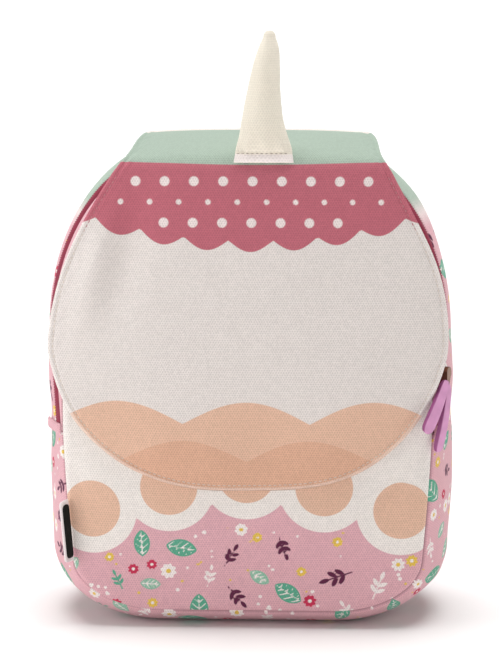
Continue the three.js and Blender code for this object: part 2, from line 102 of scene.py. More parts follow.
# Length of a whole line of points: the sum of its steps
def lineLength(points):
    return float(np.linalg.norm(np.diff(points, axis=0), axis=1).sum())


# Places at shares of the length of a line of points
def evenly(points, shares):
    run = runAlong(points)
    return np.stack([np.interp(np.asarray(shares) * run[-1], run, column) for column in points.T], -1)


# Smooth curve through points: on each span a cubic whose end slopes come from the neighbours, with each
# span weighed by the square root of its length
def curveThrough(rows):
    rows = np.asarray(rows, float)
    rows = np.concatenate([[2 * rows[0] - rows[1]], rows, [2 * rows[-1] - rows[-2]]])
    span = np.sqrt(np.maximum(np.linalg.norm(np.diff(rows, axis=0), axis=1), tiny))[:, None]
    a, b, c, d = rows[:-3], rows[1:-2], rows[2:-1], rows[3:]
    before, middle, after = span[:-2], span[1:-1], span[2:]
    slopeIn = ((b - a) / before - (c - a) / (before + middle) + (c - b) / middle) * middle
    slopeOut = ((c - b) / middle - (d - b) / (middle + after) + (d - c) / after) * middle
    t = np.linspace(0, 1, curveSteps, endpoint=False)[None, :, None]
    b, c, slopeIn, slopeOut = (part[:, None] for part in (b, c, slopeIn, slopeOut))
    curve = ((2 * t ** 3 - 3 * t ** 2 + 1) * b + (t ** 3 - 2 * t ** 2 + t) * slopeIn
             + (3 * t ** 2 - 2 * t ** 3) * c + (t ** 3 - t ** 2) * slopeOut)
    return np.concatenate([curve.reshape(-1, rows.shape[1]), rows[-2:-1]])


# Steps from 0 to 1 that close up towards both ends: a straight run bent by a sine
def closingSteps(count, share):
    t = np.linspace(0, 1, count)
    return t - share * np.sin(2 * np.pi * t) / (2 * np.pi)


# Soft hollows: each a bell curve across and along its own turned axes. A row is its place across and along,
# its width and length, its turn in radians and its depth, which is below zero for a bulge.
def hollows(across, along, table):
    total = 0.0
    for acrossAt, alongAt, wide, long, turn, deep in table:
        c, s = np.cos(turn), np.sin(turn)
        u, v = across - acrossAt, along - alongAt
        total = total + deep * np.exp(-((u * c + v * s) / wide) ** 2 - ((v * c - u * s) / long) ** 2)
    return total


# The four corners of each cell of a grid of vertex numbers
def cellCorners(index):
    corners = [index[..., :-1, :-1], index[..., :-1, 1:], index[..., 1:, 1:], index[..., 1:, :-1]]
    return np.stack(corners, -1).reshape(-1, 4)


# Puts a new object with its data into the scene
def putIn(name, data):
    thing = bpy.data.objects.new(name, data)
    bpy.context.scene.collection.objects.link(thing)
    return thing


# Puts grids of points in millimetres into one mesh, welds them where they meet and turns the faces
# outwards. A grid is rows x columns, with any number of copies in front. It carries its flat cloth
# coordinates and its fields, which have one value or one colour for each point.
def makePiece(name, grids, material):
    points, cloth, quads, start = [], [], [], 0
    widths = {key: 3 if np.ndim(field) == grid["points"].ndim else 1
              for grid in grids for key, field in grid.get("fields", {}).items()}
    values = {key: [] for key in sorted(widths)}
    for grid in grids:
        shape = grid["points"].shape[:-1]
        count = int(np.prod(shape))
        quads.append(cellCorners(start + np.arange(count).reshape(shape)))
        points.append(grid["points"].reshape(-1, 3))
        cloth.append(grid.get("cloth", grid["points"][..., [0, 2]]).reshape(-1, 2))
        for key, parts in values.items():
            field = grid.get("fields", {}).get(key, farAway)
            full = shape if widths[key] == 1 else (*shape, 3)
            parts.append(np.broadcast_to(field, full).reshape(count, -1))
        start += count
    points, cloth, quads = (np.concatenate(part) for part in (points, cloth, quads))
    mesh = bpy.data.meshes.new(name)
    mesh.vertices.add(len(points))
    mesh.vertices.foreach_set("co", (points * mm).astype(np.float32).ravel())
    mesh.loops.add(quads.size)
    mesh.loops.foreach_set("vertex_index", quads.astype(np.int32).ravel())
    mesh.polygons.add(len(quads))
    mesh.polygons.foreach_set("loop_start", np.arange(0, quads.size, 4, dtype=np.int32))
    mesh.polygons.foreach_set("use_smooth", np.ones(len(quads), bool))
    mesh.update(calc_edges=True)
    flat = mesh.uv_layers.new(name="cloth")
    flat.data.foreach_set("uv", (cloth * mm)[quads.ravel()].astype(np.float32).ravel())
    for key, parts in values.items():
        value = np.concatenate(parts).astype(np.float32)
        if widths[key] == 1:
            mesh.attributes.new(key, "FLOAT", "POINT").data.foreach_set("value", value.ravel())
        else:
            color = np.concatenate([value, np.ones((len(value), 1), np.float32)], 1)
            mesh.attributes.new(key, "FLOAT_COLOR", "POINT").data.foreach_set("color", color.ravel())
    work = bmesh.new()
    work.from_mesh(mesh)
    bmesh.ops.remove_doubles(work, verts=work.verts, dist=weldReach * mm)
    bmesh.ops.recalc_face_normals(work, faces=work.faces)
    work.to_mesh(mesh)
    work.free()
    mesh.materials.append(material)
    piece = putIn(name, mesh)
    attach(piece, "root")
    return piece


# A wall of cloth: an outer and an inner grid, and a strip that joins them along each of the four edges
def clothWall(outer, inner, cloth, fields):
    grids = [{"points": side, "cloth": cloth, "fields": fields} for side in (outer, inner)]
    for edge in ((slice(None), 0), (slice(None), -1), (0, slice(None)), (-1, slice(None))):
        strip = {key: np.stack([value[edge]] * 2) for key, value in fields.items()}
        grids.append({"points": np.stack([outer[edge], inner[edge]]),
                      "cloth": np.stack([cloth[edge]] * 2), "fields": strip})
    return grids


# A fan that closes a ring of points: the ring's middle, once for each point, and the ring
def capRing(ring):
    return np.stack([ring.mean(0) + 0 * ring, ring])


# A row of thread stitches: each an egg stretched along the seam and sunk half into the cloth. The shade at
# each point of the line tints the stitches there.
def stitches(name, line, normals, size, material, shade=None):
    count = max(int(lineLength(line) / size["pitch"]), 2)
    shares = (np.arange(count) + 0.5) / count
    middle = evenly(line, shares)
    before, after = np.maximum(shares - 0.5 / count, 0), np.minimum(shares + 0.5 / count, 1)
    ahead = unit(evenly(line, after) - evenly(line, before))
    up = unit(evenly(np.concatenate([line, normals], 1), shares)[:, 3:])
    side = unit(np.cross(up, ahead))
    polar, turn = rowSteps(stitchGrid[0], 0, np.pi), columnSteps(stitchGrid[1], 0, 2 * np.pi)
    egg = asPoints(np.cos(polar) * size["length"] / 2, np.sin(polar) * np.cos(turn) * size["width"] / 2,
                   np.sin(polar) * np.sin(turn) * size["height"] / 2)
    points = middle[:, None, None] + np.einsum("rck,skx->srcx", egg, np.stack([ahead, side, up], 1))
    fields = {}
    if shade is not None:
        tone = evenly(np.concatenate([line, shade[:, None]], 1), shares)[:, 3]
        fields["edgeShade"] = np.broadcast_to(tone[:, None, None], points.shape[:-1])
    return makePiece(name, [{"points": points, "fields": fields}], material)


# Materials

# Spacing of the threads across and along each cloth, in millimetres. Real tape, webbing and mesh are too
# fine to show in the render, so theirs are drawn as coarse as they need to show.
threads = {"canvas": (0.75, 1.36), "tape": (0.8, 0.8), "webbing": (1.7, 1.7), "mesh": (2.6, 2.6)}

printColors = {
    "cream": "#dcd4d0", "creamLight": "#e6dfda", "horn": "#e6decf", "peach": "#dab39c",
    "peachDeep": "#d4a78e", "pink": "#d6a6ae", "blush": "#e4dcd5", "sage": "#a2b2a4", "rose": "#b86673",
    "white": "#e8dfdc", "paleRose": "#dcccca", "leaf": "#5aa287", "leafPale": "#8bb8a0",
    # seam is no print colour: it is a painted shade, laid along the gusset's seams where their grooves fall
    # in shade
    "berry": "#5a2440", "yellow": "#dcb954", "red": "#bf3452", "seam": "#7d5560", "hem": "#f0e6e3",
}


# sRGB hex, or a print colour's name, to linear: a straight line near black, and a power of 2.4 above it
def hexColor(code):
    code = printColors.get(code, code)
    srgb = np.array([int(code[k:k + 2], 16) for k in (1, 3, 5)]) / 255
    linear = np.where(srgb <= 0.04045, srgb / 12.92, ((srgb + 0.055) / 1.055) ** 2.4)
    return (*linear.tolist(), 1.0)


# Adds a node, sets its properties and sockets, and links its sockets. A number picks a socket by its place.
def add(tree, kind, settings, links=None):
    node = tree.nodes.new("ShaderNode" + kind)

    def socket(key):
        if isinstance(key, int):
            return node.inputs[key]
        return next(s for s in node.inputs if s.name == key and s.enabled)

    for key, value in settings.items():
        if isinstance(key, str) and hasattr(node, key):
            setattr(node, key, value)
        else:
            socket(key).default_value = value
    for key, source in (links or {}).items():
        if isinstance(source, bpy.types.Node):
            source = next(s for s in source.outputs if s.enabled)
        tree.links.new(source, socket(key))
    return node


# A new material, with the values that are the same all over it set on its shader's own sockets
def newMaterial(name, sockets):
    material = bpy.data.materials.new(name)
    material.use_nodes = True
    shader = material.node_tree.nodes["Principled BSDF"]
    for key, value in sockets.items():
        shader.inputs[key].default_value = value
    return material, material.node_tree, shader


# Ends a material: its colour times its tone, and a bump from its height, with the relief in millimetres
def finishSurface(tree, shader, color, tone, height, strength, relief):
    shaded = add(tree, "Mix", {"data_type": "RGBA", "blend_type": "MULTIPLY", "Factor": 1.0},
                 {"A": color, "B": tone})
    tree.links.new(shaded.outputs[2], shader.inputs["Base Color"])
    bump = add(tree, "Bump", {"Strength": strength, "Distance": relief * mm}, {"Height": height})
    tree.links.new(bump.outputs["Normal"], shader.inputs["Normal"])


weave = {
    "wander": 0.9, "wanderDetail": 1.0, "wanderScale": 0.8,  # how threads stray from their lines
    "slub": (9, 1.2),  # length and width, in threads
    "cloud": 45.45, "relief": 0.3,  # millimetres
    "dark": 0.86, "light": 1.12,  # tones between and on the threads
    "ribTone": 0.06, "knuckleTone": 0.05, "slubTone": 0.015, "cloudTone": 0.01,  # swings either side of 1
    "ribRelief": 0.6, "bump": 0.35, "roughness": 0.9, "specular": 0.2, "sheenRoughness": 0.5,
    "motifSoft": 0.3, "detailSoft": 0.25,
}


# Cotton canvas, plain woven from thick uneven yarn: dull, with rows of small knuckles that each take the
# light a little differently. Two waves across each other exclude one another to make the checks, ribs
# follow the weft, and each crossing has a tone by chance. A layer of print is its attribute, colour,
# strength and how far its edge spreads in millimetres.
def canvasMaterial(name, ground, layers=(), motifs=False, flat=True, fade=None, thread="canvas", sheen=0.1,
                   contrast=1.0):
    material, tree, shader = newMaterial(name, {
        "Roughness": weave["roughness"], "Specular IOR Level": weave["specular"], "Sheen Weight": sheen,
        "Sheen Roughness": weave["sheenRoughness"]})
    across, along = threads[thread]
    if flat:
        place = add(tree, "UVMap", {"uv_map": "cloth"})
    else:
        turned = add(tree, "TexCoord", {}).outputs["Object"]
        place = add(tree, "Mapping", {"Rotation": (np.pi / 2, 0, 0)}, {"Vector": turned})
    waves = []
    for way, period in (("X", 2 * across), ("Y", 2 * along), ("Y", along)):
        scale = 2 * np.pi / (20 * period * mm)  # Blender's bands come 20 to a full turn
        waves.append(add(tree, "TexWave", {
            "bands_direction": way, "Scale": scale, "Distortion": weave["wander"],
            "Detail": weave["wanderDetail"], "Detail Scale": weave["wanderScale"]}, {"Vector": place}))
    checks = add(tree, "Mix", {"data_type": "RGBA", "blend_type": "EXCLUSION", "Factor": 1.0},
                 {"A": waves[0].outputs["Color"], "B": waves[1].outputs["Color"]}).outputs[2]
    ribs = waves[2].outputs["Fac"]
    cell = add(tree, "VectorMath", {"operation": "SNAP", 1: (across * mm, along * mm, 1.0)}, {0: place})
    knuckle = add(tree, "TexWhiteNoise", {"noise_dimensions": "2D"}, {"Vector": cell}).outputs["Value"]
    long, wide = weave["slub"]
    slub = add(tree, "Mapping", {"Scale": (1 / (long * across * mm), 1 / (wide * along * mm), 1)},
               {"Vector": place})
    slub = add(tree, "TexNoise", {"Scale": 1.0, "Detail": 1.0}, {"Vector": slub}).outputs["Fac"]
    cloudy = add(tree, "TexNoise", {"Scale": 1 / (weave["cloud"] * mm), "Detail": 3.0}, {"Vector": place})

    if fade:
        rise = add(tree, "Attribute", {"attribute_name": "rise"}).outputs["Fac"]
        color = add(tree, "ValToRGB", {}, {"Fac": rise})
        ramp = color.color_ramp.elements
        for k, (at, code) in enumerate(fade):
            stop = ramp[k] if k < 2 else ramp.new(at)  # a ramp starts with two stops
            stop.position = at
            stop.color = hexColor(code)
    else:
        color = add(tree, "RGB", {})
        color.outputs[0].default_value = hexColor(ground)
    painted = [*layers]
    if motifs:
        painted += [("motifEdge", "motifColor", 1.0, weave["motifSoft"]),
                    ("detailEdge", "detailColor", 1.0, weave["detailSoft"])]
    for attribute, ink, strength, soft in painted:
        edge = add(tree, "Attribute", {"attribute_name": attribute}).outputs["Fac"]
        inside = add(tree, "MapRange", {"interpolation_type": "SMOOTHSTEP", "From Min": soft,
                                        "From Max": -soft, "To Max": strength}, {"Value": edge})
        settings, links = {"data_type": "RGBA"}, {"Factor": inside, "A": color}
        if ink in printColors:
            settings["B"] = hexColor(ink)
        else:
            links["B"] = add(tree, "Attribute", {"attribute_name": ink}).outputs["Color"]
        color = add(tree, "Mix", settings, links)

    tone = add(tree, "MapRange", {"To Min": weave["dark"], "To Max": weave["light"]}, {"Value": checks})
    for source, spread, swing in (  # spread: half of the source's own range
            (ribs, 0.5, weave["ribTone"]), (knuckle, 0.5, weave["knuckleTone"]),
            (slub, 0.2, weave["slubTone"]), (cloudy.outputs["Fac"], 0.2, weave["cloudTone"])):
        part = add(tree, "MapRange", {"From Min": 0.5 - spread, "From Max": 0.5 + spread,
                                      "To Min": 1 - swing, "To Max": 1 + swing}, {"Value": source})
        tone = add(tree, "Math", {"operation": "MULTIPLY"}, {0: tone, 1: part})
    tone = add(tree, "Math", {"operation": "MULTIPLY_ADD", 1: contrast, 2: 1 - contrast}, {0: tone})
    height = add(tree, "Math", {"operation": "MULTIPLY_ADD", 1: weave["ribRelief"]}, {0: ribs, 2: checks})
    finishSurface(tree, shader, color, tone, height, weave["bump"], weave["relief"])
    return material


# Grain, cloud and relief are in millimetres
moulding = {"grain": 0.6, "cloud": 6.25, "relief": 0.1, "glossSwing": 0.06, "bump": 0.12}


# A moulded, cast or spun material: one colour with faint mottling, and a fine grain in its gloss. A second
# colour takes over as the field edgeShade goes to 1: a painted shade on the pull, and the thread's rose tint
# on the flap's stitches.
def mouldedMaterial(name, code, roughness, metallic=0.0, mottle=0.08, tintAndPaintedShadeCode=None):
    material, tree, shader = newMaterial(name, {"Metallic": metallic})
    place = add(tree, "TexCoord", {}).outputs["Object"]
    grain, cloudy = (add(tree, "TexNoise", {"Scale": 1 / (moulding[key] * mm), "Detail": 2.0},
                         {"Vector": place}).outputs["Fac"] for key in ("grain", "cloud"))
    color = add(tree, "RGB", {})
    color.outputs[0].default_value = hexColor(code)
    if tintAndPaintedShadeCode:
        side = add(tree, "Attribute", {"attribute_name": "edgeShade"}).outputs["Fac"]
        color = add(tree, "Mix", {"data_type": "RGBA", "B": hexColor(tintAndPaintedShadeCode)}, {"Factor": side, "A": color})
    tone = add(tree, "MapRange", {"From Min": 0.3, "From Max": 0.7, "To Min": 1 - mottle,
                                  "To Max": 1 + mottle}, {"Value": cloudy})
    gloss = add(tree, "MapRange", {"To Min": roughness - moulding["glossSwing"],
                                   "To Max": roughness + moulding["glossSwing"]}, {"Value": grain})
    tree.links.new(gloss.outputs[0], shader.inputs["Roughness"])
    finishSurface(tree, shader, color, tone, grain, moulding["bump"], moulding["relief"])
    return material


# Printed and plain canvas: matt, with a soft-edged print that sinks into the weave and no gloss of its own
# Painted shade: the seam colour laid within a little of each gusset edge, so that the seams look shaded
paintedSeamShadeLayer = ("seamShade", "seam", 0.75, 0.8)
hornCanvas = canvasMaterial("cottonCanvasHorn", "horn", [("hem", "hem", 0.9, 0.5)], contrast=0.5)
pinkPlain = canvasMaterial("cottonCanvasPink", "pink")
strapCanvas = canvasMaterial("cottonCanvasStrap", "pink", flat=False)
frontPrint = canvasMaterial("cottonCanvasFrontPrint", "pink", [
    ("scallop", "creamLight", 1.0, 0.3), ("scallopInner", "peach", 1.0, 0.3)], motifs=True)
gussetPrint = canvasMaterial("cottonCanvasGussetPrint", "pink", [paintedSeamShadeLayer], motifs=True)
upperPrint = canvasMaterial("cottonCanvasUpperPrint", "pink", [paintedSeamShadeLayer], motifs=True, fade=[
    (0.0, "pink"), (1.0, "sage"), (0.70, "pink"), (0.75, "paleRose"), (0.80, "sage")])
flapPrint = canvasMaterial("cottonCanvasFlapPrint", "sage", [
    ("backStrip", "blush", 1.0, 0.3), ("roseBand", "rose", 1.0, 0.3), ("dots", "white", 0.9, 0.5),
    ("creamField", "cream", 1.0, 0.3), ("hills", "peach", 1.0, 0.3), ("lowHills", "peachDeep", 1.0, 0.3),
    # rim: a painted highlight, lightening the cloth along the raised edge below the rose band
    ("rim", "creamLight", 0.3, 0.5)])
# Woven tape: flat and deep in colour. Webbing: an even coarse check. Spacer mesh: small soft cells. Ribbon:
# so tightly woven that it looks almost smooth.
tapeCloth = canvasMaterial("polyesterZipTape", "#a32145", thread="tape", sheen=0)
webbingCloth = canvasMaterial("polypropyleneWebbing", "#c8809a", thread="webbing")
meshCloth = canvasMaterial("polyesterSpacerMesh", "#d3a0b0", flat=False, thread="mesh")
labelRibbon = canvasMaterial("wovenRibbonPale", "#e6dcdc", thread="tape", contrast=0.3)
labelFace = canvasMaterial("wovenLabelDark", "#181815", thread="tape", sheen=0)
# Spun thread: a slight shine along each stitch
creamThread = mouldedMaterial("polyesterThreadCream", "#d6cabf", 0.6, tintAndPaintedShadeCode="#bb7f86")
grayThread = mouldedMaterial("polyesterThreadShadow", "#b3a79c", 0.6)
# Moulded nylon and acetal: even colour and a waxy half gloss. Cast zinc, plated and rubbed: a brown metal
# shine that is darker in patches. Moulded soft vinyl: even colour and half matt, with a painted shade, a
# deeper colour, on the narrow sides of its tongues and most of the way over its knot.
coilNylon = mouldedMaterial("moldedNylonCoil", "#8a1c3a", 0.55)
buckleAcetal = mouldedMaterial("moldedAcetalPink", "#bd7690", 0.42)
sliderZinc = mouldedMaterial("castZincAntiquePlated", "#7a5a48", 0.36, metallic=1.0, mottle=0.2)
pullVinyl = mouldedMaterial("moldedSoftVinyl", "#cd90b9", 0.5, tintAndPaintedShadeCode="#8e4478")
print("materials made")


# The bag's body, in millimetres as in its construction. Base, side and crown: how far the gusset draws in
# at its front and back seams, and the depths between which it is full.
bag = {
    "height": 290, "depth": 94, "baseHalf": 52, "cornerWidth": 69, "cornerHeight": 45, "sideBow": 2.5,
    "shoulderHeight": 176, "shoulderHalf": 122, "crownHalf": 40, "middle": 135, "dome": 8,
    "domeFullness": 0.9, "frontTaper": 4.5, "taperHeight": 120, "cloth": 1.6, "gap": 0.3, "backPadding": 5,
    "base": (10, 5, 0.24, 0.8), "side": (12.5, 9, 0.5, 0.55), "crown": (13.5, 0.5, 0.55, 0.75),
    "runSteps": 300, "outlineSteps": 1500, "rimSteps": 1200, "panelClosing": 0.5,
}


# Half outline: base line, corner ellipse, bowed side, shoulder ellipse and crown line
def halfOutline():
    t = np.linspace(0, 1, bag["runSteps"])
    turn = t * np.pi / 2
    baseHalf, crownHalf, shoulderHalf = bag["baseHalf"], bag["crownHalf"], bag["shoulderHalf"]
    low, high = bag["cornerHeight"], bag["shoulderHeight"]
    foot, head = np.array([baseHalf + bag["cornerWidth"], low]), np.array([shoulderHalf, high])
    bow = np.array([shoulderHalf + bag["sideBow"], (low + high) / 2])
    up = t[:, None]
    runs = [
        asPoints(t * baseHalf, 0),
        asPoints(baseHalf + bag["cornerWidth"] * np.sin(turn), low * (1 - np.cos(turn))),
        (1 - up) ** 2 * foot + 2 * up * (1 - up) * bow + up ** 2 * head,
        asPoints(crownHalf + (shoulderHalf - crownHalf) * np.cos(turn),
                 high + (bag["height"] - high) * np.sin(turn)),
        asPoints(crownHalf * (1 - t), bag["height"]),
    ]
    return np.concatenate([runs[0]] + [run[1:] for run in runs[1:]])


outlineLine = halfOutline()
halfLength = lineLength(outlineLine)
outlineShares = np.linspace(0, 1, bag["outlineSteps"])
outlineTable = evenly(outlineLine, outlineShares)
outlineTangent = unit(np.gradient(outlineTable, axis=0))
outlineColumns = [outlineTable[:, 0], outlineTable[:, 1], outlineTangent[:, 1], -outlineTangent[:, 0]]


# How far the gusset draws in at a depth: a square towards each seam, and nothing along its full stretch
def drawIn(ends, depth):
    front, back, fullFrom, fullTo = ends
    return (front * clamp((fullFrom - depth) / fullFrom) ** 2
            + back * clamp((depth - fullTo) / (1 - fullTo)) ** 2)


# A point of the gusset: the outline's point, moved along its normal by out less the draw-in
def gussetPoint(around, depth, out=0.0):
    around, depth, out = np.broadcast_arrays(np.asarray(around, float), depth, out)
    turn = np.mod(around, 2.0)
    side = np.where(turn > 1, -1.0, 1.0)
    along = np.where(turn > 1, 2 - turn, turn)
    x, z, nx, nz = (np.interp(along, outlineShares, column) for column in outlineColumns)
    taper = bag["frontTaper"] * clamp(1 - z / bag["taperHeight"])
    front, back, fullFrom, fullTo = bag["side"]
    flank = drawIn((front + taper, back, fullFrom, fullTo), depth)
    ends = np.where(nz < 0, drawIn(bag["base"], depth), drawIn(bag["crown"], depth))
    lift = out - nx ** 2 * flank - nz ** 2 * ends
    return np.stack([side * (x + nx * lift), (depth - 0.5) * bag["depth"], z + nz * lift], -1)


# Share of the half outline's length at a height, read from its table
def shareAtHeight(height):
    return np.interp(height, outlineTable[:, 1], outlineShares)


# Print of small motifs. Every motif is a signed distance to its edge, worked out in its own turned and
# scaled coordinates, and is inside where that is below zero.

ditsyPrint = {
    "frontSeed": 7, "lowerSeed": 21, "backSeed": 22, "tries": 14, "sizes": (0.85, 1.12),
    "clear": 1.04,  # room round each motif, against its size
    "reach": 1.5, "margin": 3,  # how far out a motif's distance is kept
    "leafWide": 1.15, "veinStep": 0.42, "veinSlant": 0.9, "veinThin": 0.74, "veinHalf": 0.32,
    "veinInset": 0.8, "stemHalf": 0.45, "stemAt": -0.3, "stemReach": 0.65, "pairsAt": (-0.5, -0.1),
    "tipAt": 0.3, "leafLong": 0.6,
    "stems": {"sprig": (0.85, 0.24), "frond": (0.8, 0.25)},  # angle of the leaves, and their width
    "petals": 8, "petalDeep": 0.34, "daisyEye": 0.3,
    "heartLobe": (0.25, 0.75), "heartRound": 0.3536, "heartDrop": 0.6,
    "motifs": [  # kind, size, number in 100 cm2, inks
        ("leaf", 9.6, 4.6, "leaf", "white"), ("leaf", 7.0, 3.4, "leafPale", "white"),
        ("frond", 10.5, 3.4, "berry", None), ("sprig", 8.5, 3.4, "leaf", None),
        ("sprig", 9.5, 4.0, "white", None), ("daisy", 4.5, 6.0, "white", "yellow"), 
        ("daisy", 3.4, 4.5, "yellow", "white"), ("daisy", 3.8, 4.5, "red", "white"),
        ("heart", 2.8, 5.0, "white", None),
        ("dot", 1.1, 26.0, "white", None), ("dot", 0.9, 16.0, "yellow", None),
    ],
}


# Leaf: where two equal circles overlap, its tips at both ends of its length
def leafEdge(x, y, length, width):
    radius = (length ** 2 + width ** 2) / (4 * width)
    away = radius - width / 2
    return np.maximum(np.hypot(x, y + away), np.hypot(x, y - away)) - radius


# One broad leaf: its veins are a middle line and slanting lines at even steps
def broadLeaf(x, y, size):
    leaf = leafEdge(x, y, 2 * size, ditsyPrint["leafWide"] * size)
    step = ditsyPrint["veinStep"] * size
    slant = x - ditsyPrint["veinSlant"] * np.abs(y)
    sideVeins = np.abs(slant - step * np.round(slant / step)) * ditsyPrint["veinThin"]
    veins = np.minimum(np.abs(y), sideVeins) - ditsyPrint["veinHalf"]
    return leaf, np.maximum(veins, leaf + ditsyPrint["veinInset"])


# Leaves in pairs along a stem, turned off it by an angle, with one leaf at its tip
def leafPairs(x, y, size, angle, leafWide):
    long = ditsyPrint["leafLong"] * size
    edge = np.maximum(np.abs(y) - ditsyPrint["stemHalf"],
                      np.abs(x - ditsyPrint["stemAt"] * size) - ditsyPrint["stemReach"] * size)
    places = [(at, sign * angle) for at in ditsyPrint["pairsAt"] for sign in (-1, 1)]
    for at, turn in [*places, (ditsyPrint["tipAt"], 0.0)]:
        c, s = np.cos(turn), np.sin(turn)
        along, beside = (x - at * size) * c + y * s, -(x - at * size) * s + y * c
        edge = np.minimum(edge, leafEdge(along - long / 2, beside, long, leafWide * size))
    return edge


# Edges of a motif and of its detail. A daisy's radius follows a cosine from petal to petal, a heart is two
# round lobes over a square's corner, and a dot is a circle.
def motifEdges(kind, x, y, size):
    reach, angle = np.hypot(x, y), np.arctan2(y, x)
    if kind == "leaf":
        return broadLeaf(x, y, size)
    if kind in ditsyPrint["stems"]:
        return leafPairs(x, y, size, *ditsyPrint["stems"][kind]), None
    if kind == "daisy":
        petal = np.abs(np.cos(ditsyPrint["petals"] / 2 * angle))
        edge = reach - size * (1 - ditsyPrint["petalDeep"] + ditsyPrint["petalDeep"] * petal)
        return edge, reach - ditsyPrint["daisyEye"] * size
    if kind == "heart":
        u, v = np.abs(x) / size, (y + ditsyPrint["heartDrop"] * size) / size
        half = np.maximum(u + v, 0) / 2
        low = np.minimum(np.hypot(u, v - 1), np.hypot(u - half, v - half)) * np.sign(u - v)
        lobeX, lobeY = ditsyPrint["heartLobe"]
        lobe = np.hypot(u - lobeX, v - lobeY) - ditsyPrint["heartRound"]
        return size * np.where(u + v > 1, lobe, low), None
    return reach - size, None


# Throws darts over a flat piece, kind after kind: one stays where it keeps clear of those before it
def scatterMotifs(low, high, seed):
    dice = np.random.default_rng(seed)
    area = (high[0] - low[0]) * (high[1] - low[1]) / 1e4  # in 100 cm2
    placed, rooms, kept = np.zeros((0, 2)), np.zeros(0), []
    for kind, typical, each, ink, detailInk in ditsyPrint["motifs"]:
        wanted = int(round(each * area))
        darts = dice.uniform(low, high, (wanted * ditsyPrint["tries"], 2))
        turns = dice.uniform(0, 2 * np.pi, len(darts))
        sizes = typical * dice.uniform(*ditsyPrint["sizes"], len(darts))
        for place, turn, size in zip(darts, turns, sizes):
            room = ditsyPrint["clear"] * size
            if wanted and np.all(np.hypot(*(placed - place).T) > rooms + room):
                placed, rooms = np.vstack([placed, place]), np.append(rooms, room)
                kept.append((kind, ink, detailInk, place, turn, size))
                wanted -= 1
    return kept


# Fields of the print at each point of a flat piece: distance to the nearest motif, and that motif's colours
def printFields(flat, seed, keepOut=None):
    shape = flat.shape[:-1]
    flat = flat.reshape(-1, 2)
    edge, detail = np.full(len(flat), farAway), np.full(len(flat), farAway)
    color, detailColor = np.zeros((len(flat), 3)), np.ones((len(flat), 3))
    for kind, ink, detailInk, place, turn, size in scatterMotifs(flat.min(0), flat.max(0), seed):
        if keepOut is not None and keepOut(*place) < size:
            continue
        reach = ditsyPrint["reach"] * size + ditsyPrint["margin"]
        near = np.flatnonzero(np.abs(flat - place).max(1) < reach)
        offset = flat[near] - place
        c, s = np.cos(turn), np.sin(turn)
        x, y = offset[:, 0] * c + offset[:, 1] * s, -offset[:, 0] * s + offset[:, 1] * c
        motif, inner = motifEdges(kind, x, y, size)
        closer = motif < edge[near]
        edge[near[closer]] = motif[closer]
        color[near[closer]] = hexColor(ink)[:3]
        detail[near[closer]] = inner[closer] if detailInk else farAway
        if detailInk:
            detailColor[near[closer]] = hexColor(detailInk)[:3]
    return {"motifEdge": edge.reshape(shape), "detailEdge": detail.reshape(shape),
            "motifColor": color.reshape(*shape, 3), "detailColor": detailColor.reshape(*shape, 3)}


# Gusset: a strip of cloth round the body, whose edges roll in to their seams
gusset = {
    "zipEnd": 119.5, "zipSetback": 21.5, "zipEndSetback": 5.4, "zipClimb": 75, "zipWidth": 7.6,
    "tapeRecess": 1.7, "tape": 1.1, "coilWidth": 4.5, "coilProud": 0.6, "roll": 3.4, "rollDeep": 2.2,
    "rollFull": 0.999, "closing": 0.55, "hollowInset": 12, "seamShade": 0.8,
    "calm": 0.8, "calmFrom": 1.4, "calmIn": 0.1, "calmTo": 1.92, "calmOut": 0.12,
    "calmDepth": 0.5, "calmShade": 2,
    "motifsTo": 0.68, "motifsEnd": 60, "frontRise": 0.6,  # how the print fades towards the crown
    "lowerGrid": (340, 74), "upperGrid": (380, 56), "frontGrid": (320, 24), "tapeGrid": (260, 8),
    "hollows": [  # across: place round the body, along: depth
        (0.41, 30, 0.03, 16, 0, 1.2), (-0.36, 30, 0.05, 16, 0, 0.9), (-0.45, 52, 0.04, 40, 0, 1.8),
        (1.52, 52, 0.03, 40, 0, 2.2), (0.48, 52, 0.02, 40, 0, 1.0), (0.27, 60, 0.035, 30, 0, -1.2),
        (-0.25, 62, 0.035, 30, 0, -1.2), (0.62, 66, 0.05, 22, 0, 0.7), (1.40, 64, 0.05, 22, 0, 0.7),
        (0.53, 60, 0.03, 28, 0, -1.0), (0.39, 58, 0.06, 34, 0, -1.7), (0.257, 58, 0.016, 34, 0, -1.8),
        (0.755, 56, 0.05, 26, 0, -1.6),
    ],
}
zipEnd = shareAtHeight(gusset["zipEnd"])
zipHalf = gusset["zipWidth"] / 2 / bag["depth"]
seam = bag["gap"] / bag["depth"]
endGap = bag["gap"] / halfLength
upperStart, upperEnd = zipEnd + endGap, 2 - zipEnd - endGap


# Depth of the zip's middle: near the front seam at its ends, back along an S curve, level over the top
def zipMiddle(around):
    fromEnd = (np.minimum(around, 2 - around) - zipEnd) * halfLength
    climb = eased(clamp(fromEnd / gusset["zipClimb"]))
    near, far = gusset["zipEndSetback"], gusset["zipSetback"]
    return (near + (far - near) * climb) / bag["depth"]


# A depth that keeps beside the zip's middle, and one that is the same all round
def besideZip(offset):
    return lambda around: zipMiddle(around) + offset


def atDepth(depth):
    return lambda around: depth + 0 * around


